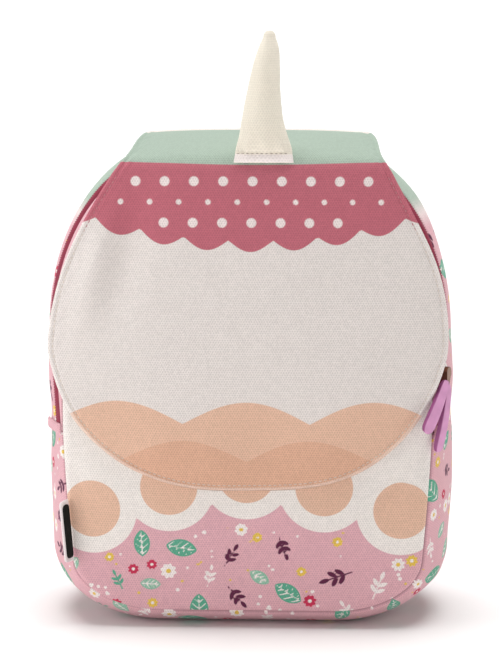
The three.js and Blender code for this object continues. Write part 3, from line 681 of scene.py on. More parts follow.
# A strip between two places round and two depths: rolled edges are circles' arcs, folds are soft hollows.
# Low on the left the cloth is pulled flat across the seam, so the edge rolls less there.
def gussetStrip(start, end, front, back, grid, base=0.0, thick=bag["cloth"], roll=True):
    around = columnSteps(grid[0], start, end)
    t = closingSteps(grid[1], gusset["closing"])[:, None] if roll else rowSteps(grid[1])
    front, back = front(around), back(around)
    depth = front + (back - front) * t
    deep = depth * bag["depth"]
    edge = np.minimum(depth - front, back - depth) * bag["depth"]
    turn = np.mod(around, 2.0)
    calm = (gusset["calm"] * clamp((turn - gusset["calmFrom"]) / gusset["calmIn"])
            * clamp((gusset["calmTo"] - turn) / gusset["calmOut"]) * (depth < gusset["calmDepth"]))
    out = base - hollows(around, deep, gusset["hollows"]) * clamp(edge / gusset["hollowInset"])
    if roll:
        near = clamp(1 - edge / gusset["roll"])
        out = out - gusset["rollDeep"] * (1 - calm) * (1 - np.sqrt(1 - near ** 2 * gusset["rollFull"]))
    outer = gussetPoint(around, depth, out)
    inner = gussetPoint(around, depth, out - thick)
    # seamShade: the distance to the nearest edge less a margin, within which a painted shade darkens the
    # seam. Low on the left, where the light falls, the painted shade is held off.
    shade = edge - gusset["seamShade"] + gusset["calmShade"] * calm
    return outer, inner, asPoints(around * halfLength, deep), {"seamShade": shade}


# How far points lie up the upper gusset: a share of the height from the zip's ends to the crown
def riseOf(points):
    return clamp((points[..., 2] - gusset["zipEnd"]) / (bag["height"] - gusset["zipEnd"]))


outer, inner, flat, fields = gussetStrip(-zipEnd, zipEnd, atDepth(0), atDepth(1), gusset["lowerGrid"])
fields.update(printFields(flat, ditsyPrint["lowerSeed"]))
gussetLower = makePiece("gussetLower", clothWall(outer, inner, flat, fields), gussetPrint)

outer, inner, flat, fields = gussetStrip(upperStart, upperEnd, besideZip(zipHalf + seam), atDepth(1),
                                         gusset["upperGrid"])
fields.update(printFields(flat, ditsyPrint["backSeed"]))
fields["rise"] = riseOf(outer)
for name in ("motifEdge", "detailEdge"):  # no motifs near the crown
    fields[name] = np.maximum(fields[name], (fields["rise"] - gusset["motifsTo"]) * gusset["motifsEnd"])
gussetBack = makePiece("gussetBack", clothWall(outer, inner, flat, fields), upperPrint)

outer, inner, flat, fields = gussetStrip(upperStart, upperEnd, atDepth(0), besideZip(-zipHalf - seam),
                                         gusset["frontGrid"])
rise = riseOf(outer)
fields.update({"motifEdge": farAway + 0 * rise, "detailEdge": farAway + 0 * rise,
               "rise": gusset["frontRise"] * rise})
gussetFront = makePiece("gussetFront", clothWall(outer, inner, flat, fields), upperPrint)

outer, inner, flat, _ = gussetStrip(upperStart, upperEnd, besideZip(-zipHalf), besideZip(zipHalf),
                                    gusset["tapeGrid"], -gusset["tapeRecess"], gusset["tape"], roll=False)
zipTape = makePiece("zipTape", clothWall(outer, inner, flat, {}), tapeCloth)
print("gusset and tape made")


zipCoil = {"turn": 1.5, "rib": 0.252, "columns": 11, "rowsPerTurn": 5, "valley": 0.35, "valleyWide": 0.16,
           "bed": 0.1, "under": 0.25}


# Zip coil: a band whose height is two rounded ridges across, ribbed along by the turns of the coil
def coilGrid():
    length = (upperEnd - upperStart) * halfLength
    along = rowSteps(int(length / zipCoil["turn"] * zipCoil["rowsPerTurn"]))
    across = columnSteps(zipCoil["columns"], -1)
    around = upperStart + (upperEnd - upperStart) * along
    depth = zipMiddle(around) + across * gusset["coilWidth"] / 2 / bag["depth"]
    ribs = np.cos(2 * np.pi * along * length / zipCoil["turn"] + np.pi * (across > 0)) * zipCoil["rib"]
    crown = pillow(across, 2) - zipCoil["valley"] * bell(across / zipCoil["valleyWide"])
    bed = -gusset["tapeRecess"] + zipCoil["bed"]
    out = bed + (gusset["coilProud"] - bed) * crown + ribs * clamp(crown)
    return gussetPoint(around, depth, out), gussetPoint(around, depth, bed - zipCoil["under"])


top, bottom = coilGrid()
coil = makePiece("zipCoil", clothWall(top, bottom, top[..., [0, 2]], {}), coilNylon)


# Folded stops below the ends of the zip: a low pillow whose edges round down
zipStops = {"length": 6.6, "above": 4.6, "reach": 24, "thick": 1.4, "grid": (24, 12), "roundDown": 3,
            "roundEnds": 14, "under": 0.5}
for side, name, node in ((1, "zipStopRight", "zip_stop_right"), (-1, "zipStopLeft", "zip_stop_left")):
    t, deep = columnSteps(zipStops["grid"][1]), rowSteps(zipStops["grid"][0])
    around = side * (zipEnd + (zipStops["above"] - zipStops["length"] * (1 - t)) / halfLength)
    depth = deep * zipStops["reach"] / bag["depth"]
    plump = pillow(2 * t - 1, zipStops["roundDown"]) * pillow(2 * deep - 1, zipStops["roundEnds"])
    outer = gussetPoint(around, depth, bag["gap"] + zipStops["thick"] * plump)
    inner = gussetPoint(around, depth, bag["gap"] * zipStops["under"])
    flat = asPoints(t * zipStops["length"], deep * zipStops["reach"])
    stop = makePiece(name, clothWall(outer, inner, flat, {}), pinkPlain)
    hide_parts(node)
print("zip made")


frontPanel = {
    "rows": (170, 30), "fineTo": 128, "columns": 200, "inset": 1.2, "round": 4.0, "edgeRise": 2.3,
    "lining": 0.1, "behindFlap": 3.5, "coveredFrom": 132, "coveredOver": 18, "coveredInset": 14,
    "hollowInset": 12,
    "garland": {"across": (-92, -46, 0, 46, 92), "high": 96, "sag": 22, "sagPower": 1.5, "outer": 27,
                "inner": 17},
    "hollows": [  # across: x, along: height
        (99, 96, 5, 20, -0.7, -3.4), (91, 90, 6, 22, -0.7, 3.4), (70, 108, 22, 10, 0, -1.4),
        (-86, 64, 18, 26, 0, -1.4), (-104, 92, 6, 20, 0.5, 1.5), (-20, 30, 60, 16, 0, 1.5),
        (60, 34, 34, 18, 0, 1.2),
    ],
}


# Grid of a panel inside one seam: rows at one height, fine up to a height and coarser above, each from side
# to side. A point's reach is its distance from the middle over the rim's distance in that direction.
def panelGrid(depth, panel):
    start, end = bag["baseHalf"] / halfLength, 1 - bag["crownHalf"] / halfLength
    split = shareAtHeight(panel["fineTo"])
    low, high = panel["rows"]
    shares = np.concatenate([np.linspace(start, split, low), np.linspace(split, end, high + 1)[1:]])
    rim = gussetPoint(shares, depth, -panel["inset"])
    x = rim[:, :1] * (closingSteps(panel["columns"], bag["panelClosing"]) * 2 - 1)
    z = np.broadcast_to(rim[:, 2:], x.shape)
    edge = gussetPoint(np.linspace(0, 2, bag["rimSteps"]), depth, -panel["inset"])
    turn = np.unwrap(np.arctan2(edge[:, 0], bag["middle"] - edge[:, 2]))
    angle = np.mod(np.arctan2(x, bag["middle"] - z) - turn[0], 2 * np.pi) + turn[0]
    far = np.interp(angle, turn, np.hypot(edge[:, 0], edge[:, 2] - bag["middle"]))
    reach = clamp(np.hypot(x, z - bag["middle"]) / far)
    return x, z, reach, (1 - reach) * far


# Garland: distance to the nearest of five circles hung in a sagging row, and everything above the row
def garlandEdge(x, z, inner=False):
    row = frontPanel["garland"]
    across = np.array(row["across"], float)
    high = row["high"] - row["sag"] * (np.abs(across) / across.max()) ** row["sagPower"]
    away = np.minimum.reduce([np.hypot(x - at, z - up) for at, up in zip(across, high)])
    if inner:
        return away - row["inner"]
    return np.minimum(away - row["outer"], np.interp(x, across, high) - z)


# Front panel: its dome is a power of 1 less the square of its reach, lower behind the flap, with soft
# hollows and an edge that rounds down to the seam
def buildFrontPanel():
    x, z, reach, edge = panelGrid(0, frontPanel)
    covered = (clamp((z - frontPanel["coveredFrom"]) / frontPanel["coveredOver"])
               * clamp(edge / frontPanel["coveredInset"]))
    dome = bag["dome"] * (1 - reach ** 2) ** bag["domeFullness"] - frontPanel["behindFlap"] * eased(covered)
    dome = dome - hollows(x, z, frontPanel["hollows"]) * clamp(edge / frontPanel["hollowInset"])
    seamFace = -bag["depth"] / 2
    y = seamFace - bag["gap"] - frontPanel["edgeRise"] * quarterRound(edge, frontPanel["round"]) - dome
    inner = np.minimum(y + bag["cloth"], seamFace - frontPanel["lining"])
    flat = asPoints(x, z)
    fields = printFields(flat, ditsyPrint["frontSeed"], garlandEdge)
    fields["scallop"] = garlandEdge(x, z)
    fields["scallopInner"] = garlandEdge(x, z, inner=True)
    wall = clothWall(asPoints(x, y, z), asPoints(x, inner, z), flat, fields)
    return makePiece("frontPanel", wall, frontPrint)


front = buildFrontPanel()
print("front panel made")


backPanel = {"rows": (70, 50), "fineTo": 120, "columns": 90, "inset": 0.2, "round": 7.0, "edgeThick": 0.35}


# Back panel: a level foam pad, whose edge rounds down to a share of its thickness at the seam
def buildBackPanel():
    x, z, _, edge = panelGrid(1, backPanel)
    thin = backPanel["edgeThick"]
    seamFace = bag["depth"] / 2 + bag["gap"]
    y = seamFace + bag["backPadding"] * (thin + (1 - thin) * quarterRound(edge, backPanel["round"]))
    wall = clothWall(asPoints(x, y, z), asPoints(x, seamFace, z), asPoints(x, z), {})
    return makePiece("backPanel", wall, meshCloth)


back = buildBackPanel()
print("back panel made")


# Flap, in the flat: x sideways, and s along its middle line from the back seam over the top to the front
flap = {
    "thick": 2.4, "edgeDrop": 10, "backHalf": 69.2, "widening": 0.045, "neck": 16, "widestAt": 214.3,
    "widestHalf": 117.7, "flank": 0.00347, "length": 298.4, "roundness": 1.476, "fullness": 0.344,
    "shift": 0.3, "backShift": 4.8, "backSkew": 1.9, "skewReach": 90,
    "pinch": (2.0, 134, 26), "spread": (1.8, 256, 22),  # how far, at which s, over what length
    "lineSteps": 900, "rimSteps": 1400, "rows": 250, "columns": 176, "closing": 0.72,
    "evenRows": 0.58, "evenLength": 0.6, "rimRound": 1.3, "hollowInset": 16, "probe": 0.5,
    "groove": 0.4, "grooveWide": 1.1, "bead": 0.3, "beadAt": 1.5, "beadWide": 1.2,
    "pucker": 0.22, "puckerStep": 8.5, "puckerSlant": 0.6, "puckerAt": 5.5, "puckerWide": 3.5,
    "hang": 0.9, "hangWave": 13, "hangStart": 0.4, "hangFrom": 235, "hangOver": 60,
    "stitch": {"pitch": 3.0, "length": 2.0, "width": 0.55, "height": 0.5},
    "stitchIn": 3.2, "stitchFrom": 112, "stitchLift": 0.1, "shadeTo": 146, "shadeOver": 4,
    "line": [(46, 293), (20, 293.8), (-5, 293.1), (-28, 290.4), (-46, 286.9), (-53.2, 283.6), (-56.6, 278.2),
             (-57.9, 270), (-58.8, 258), (-60.6, 225), (-61.8, 180), (-61.6, 130), (-59.6, 87)],  # y and z
    "hollows": [  # across: x, along: s
        (-73, 160, 11, 34, 0.2, 5.0), (-92, 168, 10, 32, 0.2, -3.8), (74, 160, 26, 28, 0, 1.4),
        (-52, 276, 15, 13, 0, -2.0), (-20, 276, 13, 13, 0, -1.4), (8, 270, 16, 16, 0, 1.3),
        (46, 276, 20, 14, 0, -1.2), (-80, 250, 14, 14, 0, 1.2),
    ],
    # rimWide: width of the painted highlight along the flap's raised rim
    "slope": 0.8, "blush": 21, "rimWide": 2.0,  # from here on, its print
    "bandTop": 106, "bandLow": 150, "bandRise": 22, "topRise": 0.35, "scallopWide": 26, "scallopDeep": 6.5,
    "dotStep": 17.0, "dotRow": 12.0, "dotStart": 0.8, "dotSize": 2.9, "dotLess": 1.2, "dotInset": 6,
    "dotRoom": 1.5, "hillTop": 258, "hillWide": 74, "hillDeep": 13, "lowHill": 23,
}
flapTable = evenly(curveThrough(flap["line"]), np.linspace(0, 1, flap["lineSteps"]))
flapTangent = unit(np.gradient(flapTable, axis=0))
flapDistance = np.linspace(0, flap["length"], flap["lineSteps"])


# Half width: a widening strip and a shallow parabola, blended as a high power's mean, then a rounded end
def flapHalf(s):
    above = flap["widestAt"] - s
    share = clamp(-above / (flap["length"] - flap["widestAt"]))
    low = flap["widestHalf"] * (1 - share ** flap["roundness"]) ** flap["fullness"]
    flank = np.maximum(flap["widestHalf"] - flap["flank"] * above ** 2, 0)
    strip = flap["backHalf"] + flap["widening"] * s
    high = (strip ** flap["neck"] + flank ** flap["neck"]) ** (1 / flap["neck"])
    return np.where(above < 0, low, high)


# A point of the flap: its middle line, moved inwards by a cube of the way to its side and by how deep it
# lies, and sideways by squares that skew its back, pinch its right side and spread its left
def flapPoint(x, s, deep):
    y, z, ty, tz = (np.interp(s, flapDistance, column) for column in (*flapTable.T, *flapTangent.T))
    inward = flap["edgeDrop"] * np.abs(x / flap["widestHalf"]) ** 3 + deep
    shift = flap["shift"] + flap["backShift"] * (1 - clamp(s / flap["widestAt"]) ** 2)
    shift = shift - flap["backSkew"] * (1 - clamp(s / flap["skewReach"])) ** 2
    for (far, at, long), side in ((flap["pinch"], 1), (flap["spread"], -1)):
        shift = shift - far * clamp(side * x / flap["backHalf"]) ** 2 * bell((s - at) / long)
    return np.stack([x + shift, y - tz * inward, z + ty * inward], -1)


# The flap's outline in the flat, from its back right corner down and round to its back left corner: its
# half width and the mirror of that, at even steps
def flapOutline():
    s = flap["length"] * np.sin(np.linspace(0, np.pi / 2, flap["lineSteps"]))
    right = asPoints(flapHalf(s), s)
    return evenly(np.concatenate([right, right[::-1] * [-1, 1]]), np.linspace(0, 1, flap["rimSteps"]))


# Distance to the flap's edge: the least to any point of its outline, or to the back seam
def flapEdgeDistance(x, s):
    rim = flapOutline()
    rows = [np.hypot(rowX[:, None] - rim[:, 0], rowS[:, None] - rim[:, 1]).min(1)
            for rowX, rowS in zip(x, s)]
    return np.minimum(np.stack(rows), s)


# How deep the face lies: soft hollows, a groove under the stitches, a bead along the rim, slanting puckers
# beside the seam and a wave that grows down the hanging end
def flapSurface(x, s, edge):
    sink = hollows(x, s, flap["hollows"]) * clamp(edge / flap["hollowInset"])
    sink = sink + flap["groove"] * bell((edge - flap["stitchIn"]) / flap["grooveWide"])
    sink = sink - flap["bead"] * bell((edge - flap["beadAt"]) / flap["beadWide"])
    slant = 2 * np.pi * (x + flap["puckerSlant"] * s) / flap["puckerStep"]
    pucker = flap["pucker"] * np.sin(slant) * bell((edge - flap["puckerAt"]) / flap["puckerWide"])
    wave = flap["hang"] * np.sin(x / flap["hangWave"] + flap["hangStart"])
    return sink + pucker + wave * clamp((s - flap["hangFrom"]) / flap["hangOver"]) ** 2


# Bands of the flap's print, as distances to their edges: scallops are the size of a cosine's swing, and a
# dot is drawn where its middle lies well inside the band. The rim is no print but a painted highlight on the
# raised edge.
def flapFields(x, s, edge):
    def bandEdges(x, s):
        bow = flap["bandRise"] * (x / flap["widestHalf"]) ** 2
        scallop = flap["scallopDeep"] * np.abs(np.cos(np.pi * x / flap["scallopWide"]))
        return ((flap["bandTop"] - flap["topRise"] * bow - s) * flap["slope"],
                (s - flap["bandLow"] + bow - scallop) * flap["slope"])

    bandTop, bandLow = bandEdges(x, s)
    row = np.round((s - flap["bandTop"]) / flap["dotRow"] - flap["dotStart"])
    odd = np.mod(row, 2)
    dotS = flap["bandTop"] + (row + flap["dotStart"]) * flap["dotRow"]
    dotX = (np.round(x / flap["dotStep"] + 0.5 * odd) - 0.5 * odd) * flap["dotStep"]
    size = flap["dotSize"] - flap["dotLess"] * odd
    room = np.maximum(np.maximum(*bandEdges(dotX, dotS)), np.abs(dotX) - flapHalf(dotS) + flap["dotInset"])
    dots = np.where(room < -flap["dotRoom"] - size, np.hypot(x - dotX, s - dotS) - size, farAway)
    swing = np.pi * x / flap["hillWide"]
    hillTop = flap["hillTop"] - flap["hillDeep"] * np.abs(np.cos(swing))
    lowTop = flap["hillTop"] + flap["lowHill"] - flap["hillDeep"] * np.abs(np.sin(swing))
    return {
        "backStrip": s - flap["blush"], "roseBand": bandTop, "dots": dots, "creamField": -bandLow,
        "hills": (hillTop - s) * flap["slope"], "lowHills": (lowTop - s) * flap["slope"],
        # Painted highlight: within rimWide of the edge, below the rose band
        "rim": np.maximum(edge - flap["rimWide"], -bandLow),
    }


# Flap cloth: rows even at first and then closing up by a sine towards the lower end, and two faces that
# part from the rim by a quarter circle
def buildFlap():
    k = np.linspace(0, 1, flap["rows"])
    even, long = flap["evenRows"], flap["evenLength"]
    closing = long + (1 - long) * np.sin((k - even) / (1 - even) * np.pi / 2)
    s = np.where(k < even, k / even * long, closing) * flap["length"]
    x = flapHalf(s)[:, None] * (closingSteps(flap["columns"], flap["closing"]) * 2 - 1)
    s = np.broadcast_to(s[:, None], x.shape)
    edge = flapEdgeDistance(x, s)
    middle = flap["thick"] / 2 + flapSurface(x, s, edge)
    plump = flap["thick"] / 2 * quarterRound(edge, flap["rimRound"])
    wall = clothWall(flapPoint(x, s, middle - plump), flapPoint(x, s, middle + plump), asPoints(x, s),
                     flapFields(x, s, edge))
    return makePiece("flapCloth", wall, flapPrint)


# Places and outward normals along the flap's stitch line, which keeps inside the outline: the normal stands
# across two short steps along the cloth
def flapSeam(x, s):
    place = flapPoint(x, s, flapSurface(x, s, np.full(len(x), flap["stitchIn"])) - flap["stitchLift"])
    here = flapPoint(x, s, 0)
    aside, ahead = flapPoint(x + flap["probe"], s, 0) - here, flapPoint(x, s + flap["probe"], 0) - here
    return place, unit(np.cross(ahead, aside))


flapCloth = buildFlap()
rim = flapOutline()
rimTangent = unit(np.gradient(rim, axis=0))
stitchFlat = rim - asPoints(rimTangent[:, 1], -rimTangent[:, 0]) * flap["stitchIn"]
stitchFlat = stitchFlat[stitchFlat[:, 1] > flap["stitchFrom"]]
line, normals = flapSeam(*stitchFlat.T)
flapStitches = stitches("flapStitches", line, normals, flap["stitch"], creamThread,
                        shade=clamp((flap["shadeTo"] - stitchFlat[:, 1]) / flap["shadeOver"]))
print("flap made")


horn = {
    "place": (9.1, -57.4, 280.4), "top": 75.6, "sides": 72, "rows": 130, "capRows": 9, "clothRadius": 11,
    "ridge": 0.06, "ridgeWide": 0.12, "ridgeFrom": 10, "ridgeOver": 20,
    "gather": 0.5, "gathers": 9, "gatherTurn": 0.7, "gatherAt": 9.5, "gatherTall": 6.5,
    "crease": 0.35, "creases": 2, "creaseTall": 11, "creaseFrom": 12, "creaseOver": 20,
    "hem": 5.4, "hemEdge": 0.4, "puff": 0.7,
    "seamHalf": 15.2, "seamOut": 1.75, "seamBow": 0.2, "seamSteps": 60, "seamNormal": (0, -1.0, 0.1),
    "stitch": {"pitch": 2.6, "length": 1.7, "width": 0.7, "height": 0.7},
    "sections": [  # height, half width, half depth, lean, back
        (0, 17.4, 1.3, 0.9, 0), (5, 16.5, 1.3, 0.9, 0), (8, 16.0, 4.8, 0.9, 1.4), (14, 14.3, 8.2, 0.7, 3),
        (26, 11.6, 9.6, 0.2, 4), (40, 9.9, 9.2, 0.8, 4.4), (55, 8.2, 8, 2.3, 4.8), (65, 6.1, 6.1, 3.6, 5),
        (72, 3.4, 3.4, 4.1, 5.2)],
}


# Horn: oval sections carried up a leaning line and closed by a round cap, ridged a little in front,
# gathered by a cosine above a flat sewn hem, and creased by a slow spiral
def buildHorn():
    table = curveThrough(horn["sections"])
    body = np.linspace(0, table[-1, 0], horn["rows"])
    columns = [np.interp(body, table[:, 0], table[:, k]) for k in range(1, 5)]
    cap = np.linspace(0, np.pi / 2, horn["capRows"])[1:]
    h = np.concatenate([body, table[-1, 0] + (horn["top"] - table[-1, 0]) * np.sin(cap)])[:, None]
    wide, deep = (np.concatenate([column, column[-1] * np.cos(cap)])[:, None] for column in columns[:2])
    lean, behind = (np.concatenate([column, np.full(len(cap), column[-1])])[:, None]
                    for column in columns[2:])
    angle = columnSteps(horn["sides"] + 1, 0, 2 * np.pi)
    ridge = bell((np.sin(angle) + 1) / horn["ridgeWide"])
    swell = 1 + horn["ridge"] * ridge * clamp((h - horn["ridgeFrom"]) / horn["ridgeOver"])
    fold = (horn["gather"] * np.cos(horn["gathers"] * angle + horn["gatherTurn"])
            * bell((h - horn["gatherAt"]) / horn["gatherTall"]))
    fold = fold + (horn["crease"] * np.sin(angle * horn["creases"] + h / horn["creaseTall"])
                   * clamp((h - horn["creaseFrom"]) / horn["creaseOver"]))
    puff = horn["puff"] * np.sin(np.pi * clamp(h / horn["hem"]))
    points = asPoints(lean + (wide * swell + fold) * np.cos(angle),
                      behind + (deep * swell + fold + puff) * np.sin(angle), h) + horn["place"]
    flat = asPoints(angle * horn["clothRadius"], h)
    hem = {"hem": h - horn["hem"] + horn["hemEdge"] + 0 * angle}
    grids = [{"points": points, "cloth": flat, "fields": hem},
             {"points": capRing(points[0]), "cloth": flat[:2]}]
    piece = makePiece("hornCloth", grids, hornCanvas)
    t = np.linspace(-1, 1, horn["seamSteps"])
    line = asPoints(t * horn["seamHalf"], -horn["seamOut"] - horn["seamBow"] * (1 - t ** 2), horn["hem"])
    stitches("hornStitches", line + horn["place"], np.tile(horn["seamNormal"], (len(t), 1)), horn["stitch"],
             grayThread)
    return piece


hornCloth = buildHorn()
print("horn made")


pull = {
    "lobes": [
        {"top": (117.3, -44, 151.5), "end": (104.9, -63.4, 123.2), "wide": 7.8, "faces": (0.5, -0.86, 0)},
        {"top": (118.6, -42.2, 149.5), "end": (112.2, -52.4, 109.6), "wide": 6.6, "faces": (0.75, -0.66, 0)},
    ],
    "thick": 3.4, "square": 7.0, "endRound": 9, "topWide": 0.62, "bow": 1.2, "grid": (48, 49),
    "shade": 2.6, "shadeFrom": 1.5,
    "knot": (117.1, -42.5, 148.8), "knotRadius": 2.4, "knotGrid": (13, 25), "knotShade": 0.6,
}


# Pull: two flat tongues of soft vinyl, each a flat bar with crisp edges that widens towards its round free
# end and bows out by a sine. Its narrow sides take a painted shade.
def lobeGrid(lobe):
    t, angle = rowSteps(pull["grid"][0])[..., None], columnSteps(pull["grid"][1], 0, 2 * np.pi)[..., None]
    start, end = np.array(lobe["top"], float), np.array(lobe["end"], float)
    along = unit(end - start)
    across = unit(np.cross(along, lobe["faces"]))
    out = np.cross(across, along)
    ends = pillow(2 * t - 1, pull["endRound"])
    wide = ends * (pull["topWide"] + (1 - pull["topWide"]) * t * (2 - t))
    u = squarer(np.cos(angle), 2 / pull["square"]) * lobe["wide"] / 2 * wide
    v = squarer(np.sin(angle), 2 / pull["square"]) * pull["thick"] / 2 * ends
    points = start + (end - start) * t + across * u + out * (v + pull["bow"] * np.sin(np.pi * t))
    # Painted shade: the narrow sides of the tongue, where its section turns away, take the darker edge colour
    shade = clamp(np.abs(np.cos(angle)) * pull["shade"] - pull["shadeFrom"]) + 0 * t
    return {"points": points, "fields": {"edgeShade": shade[..., 0]}}


# The knot that holds both tongues: a ball, painted most of the way to the shade colour
def knotGrid():
    polar, turn = rowSteps(pull["knotGrid"][0], 0, np.pi), columnSteps(pull["knotGrid"][1], 0, 2 * np.pi)
    ball = asPoints(np.sin(polar) * np.cos(turn), np.sin(polar) * np.sin(turn), np.cos(polar))
    points = ball * pull["knotRadius"] + pull["knot"]
    return {"points": points, "fields": {"edgeShade": pull["knotShade"] + 0 * points[..., 0]}}


tongues = [lobeGrid(lobe) for lobe in pull["lobes"]]
pullPiece = makePiece("zipPull", [*tongues, knotGrid()], pullVinyl)


label = {
    "low": 38.5, "high": 79, "reach": 9, "thick": 1.8, "lean": 0.45, "inset": 2.5, "stand": 3.6, "puff": 0.9,
    "grid": (70, 41), "endShare": 0.16, "endWide": 0.5, "squareWide": 0.35, "squareThick": 0.6,
    "cornerRound": 3, "faceGrid": (90, 24), "faceEnd": 0.2, "faceHalf": 0.38, "faceInset": 2.4,
    "faceRound": 6, "faceUnder": 0.2,
}


# Label: a ribbon folded in the left front seam, a flat bar squared off by two powers with rounded ends, and
# a dark woven face let into it, a low pillow
def buildLabel():
    foot, head = (gussetPoint(-shareAtHeight(label[key]), 0.0) for key in ("low", "high"))
    along = unit(head - foot)
    outwards = [-np.cos(label["lean"]), np.sin(label["lean"]), 0.0]
    face = unit(-np.cross(np.cross(outwards, along), along))
    across = np.cross(along, face)
    length = np.linalg.norm(head - foot)
    foot = foot + [label["inset"], -label["stand"], 0]

    def place(u, y, v):
        u, y, v = (part[..., None] for part in np.broadcast_arrays(u, y, v))
        return foot + along * y + across * u + face * v

    def rounded(t, share):
        return pillow(clamp((np.abs(t) - (1 - share)) / share), label["cornerRound"])

    t, angle = rowSteps(label["grid"][0], -1), columnSteps(label["grid"][1], 0, 2 * np.pi)
    ends = rounded(t, label["endShare"])
    narrow = label["endWide"] + (1 - label["endWide"]) * ends
    u = label["reach"] / 2 * (1 + squarer(np.cos(angle), label["squareWide"])) * narrow
    v = label["thick"] / 2 * (1 + squarer(np.sin(angle), label["squareThick"]) * ends)
    y = length / 2 * (1 + t)
    ribbon = makePiece("labelRibbon", [{"points": place(u, y, v), "cloth": asPoints(u, y)}], labelRibbon)
    tall, wide = rowSteps(label["faceGrid"][0], -1), columnSteps(label["faceGrid"][1], -1)
    ends = rounded(tall, label["faceEnd"])
    u = label["reach"] * (0.5 + label["faceHalf"] * wide * ends)
    y = length / 2 + (length / 2 - label["faceInset"]) * tall
    rise = -label["puff"] * pillow(wide, label["faceRound"]) * np.sqrt(ends)
    wall = clothWall(place(u, y, rise), place(u, y, label["faceUnder"]), asPoints(u, y), {})
    makePiece("labelFace", wall, labelFace)
    return ribbon


ribbon = buildLabel()
print("pull and label made")


# Shoulder straps, given for the right and mirrored for the left. Rows of the pad's line, and its ends: x,
# height and distance off the back.
strap = {
    "padWidth": 42, "padThick": 7, "straight": 20, "webWidth": 20, "web": 1.4, "tail": 46, "tab": 24,
    "tabThick": 2.6, "tabSpread": 6, "buckleAt": 17, "buckle": 3, "bar": 4.5, "slotTo": 13,
    "padLine": [(34, 284, 0), (34, 272, 0.8), (34.4, 259, 6), (36, 239, 18.5), (40, 203, 32),
                (46, 162, 33.5)],
    "padEnd": (60, 112, 19), "tabEnd": (95, 25, 0.4),
    "padGrid": (90, 49), "padSquare": (0.4, 0.75), "padInset": (0.6, 0.7), "padEnds": (0.8, 0.25),
    "padRound": 40, "webSides": 33, "webSquare": (0.25, 0.35), "keeperRows": 60, "webRows": 120,
    "arcSteps": 14, "tabGrid": 30, "tabRound": (14, 22),
    "stuffing": {"voxel": 3.6, "pressure": 4.0, "stiffness": 25, "quality": 6, "frames": 20, "swell": 1.6},
}
backFace = bag["depth"] / 2 + bag["gap"] + bag["backPadding"]
layer = strap["buckle"] / 2 + bag["gap"] + strap["web"] / 2


# A bar carried along a line: its section is given by u across and v outwards, and both its ends are closed
def barGrids(line, across, out, u, v):
    points = line[:, None] + across * u[..., None] + out[:, None] * v[..., None]
    flat = asPoints(u, runAlong(line)[:, None])
    caps = [{"points": capRing(points[k]), "cloth": flat[:2]} for k in (0, -1)]
    return [{"points": points, "cloth": flat}] + caps


# A webbing along a line in one plane: its section is a circle squared off to a flat bar
def webbingGrids(line, across):
    out = unit(np.cross(across, unit(np.gradient(line, axis=0))))
    angle = columnSteps(strap["webSides"], 0, 2 * np.pi)
    u = squarer(np.cos(angle), strap["webSquare"][0]) * strap["webWidth"] / 2
    v = squarer(np.sin(angle), strap["webSquare"][1]) * strap["web"] / 2
    return barGrids(line, across, out, u, v)


# Half a turn of webbing round a bar of the buckle: an arc of a circle
def arcPoints(center, radius, start, end):
    angle = np.linspace(start, end, strap["arcSteps"])
    return asPoints(center + radius * np.cos(angle), radius * np.sin(angle))


# Makes what a modifier gives the piece's own mesh
def applyModifier(piece, modifier):
    with bpy.context.temp_override(object=piece, active_object=piece, selected_objects=[piece]):
        bpy.ops.object.modifier_apply(modifier=modifier.name)


# Places of a piece's vertices, in metres
def vertexPlaces(piece):
    places = np.zeros(len(piece.data.vertices) * 3, np.float32)
    piece.data.vertices.foreach_get("co", places)
    return places.reshape(-1, 3)


# Stuffing: the pad is cut into even cells and blown up as cloth, and no point moves further than the swell
def inflate(piece):
    stuffing = strap["stuffing"]
    voxel = piece.modifiers.new("voxels", "REMESH")
    voxel.mode = "VOXEL"
    voxel.voxel_size = stuffing["voxel"] * mm
    bpy.context.view_layer.objects.active = piece
    applyModifier(piece, voxel)
    before = vertexPlaces(piece)
    cloth = piece.modifiers.new("stuffing", "CLOTH")
    cloth.settings.use_pressure = True
    cloth.settings.uniform_pressure_force = stuffing["pressure"]
    cloth.settings.effector_weights.gravity = 0.0
    cloth.settings.tension_stiffness = stuffing["stiffness"]
    cloth.settings.compression_stiffness = stuffing["stiffness"]
    cloth.settings.quality = stuffing["quality"]
    for step in range(1, stuffing["frames"] + 1):
        bpy.context.scene.frame_set(step)
    applyModifier(piece, cloth)
    bpy.context.scene.frame_set(1)
    move = vertexPlaces(piece) - before
    far = np.linalg.norm(move, axis=1, keepdims=True)
    move = move * np.minimum(1, stuffing["swell"] * mm / np.maximum(far, tiny))
    piece.data.vertices.foreach_set("co", (before + move).astype(np.float32).ravel())
    piece.data.polygons.foreach_set("use_smooth", np.ones(len(piece.data.polygons), bool))
    finer = piece.modifiers.new("smoother", "SUBSURF")
    finer.levels = finer.render_levels = 1
    piece.data.update()


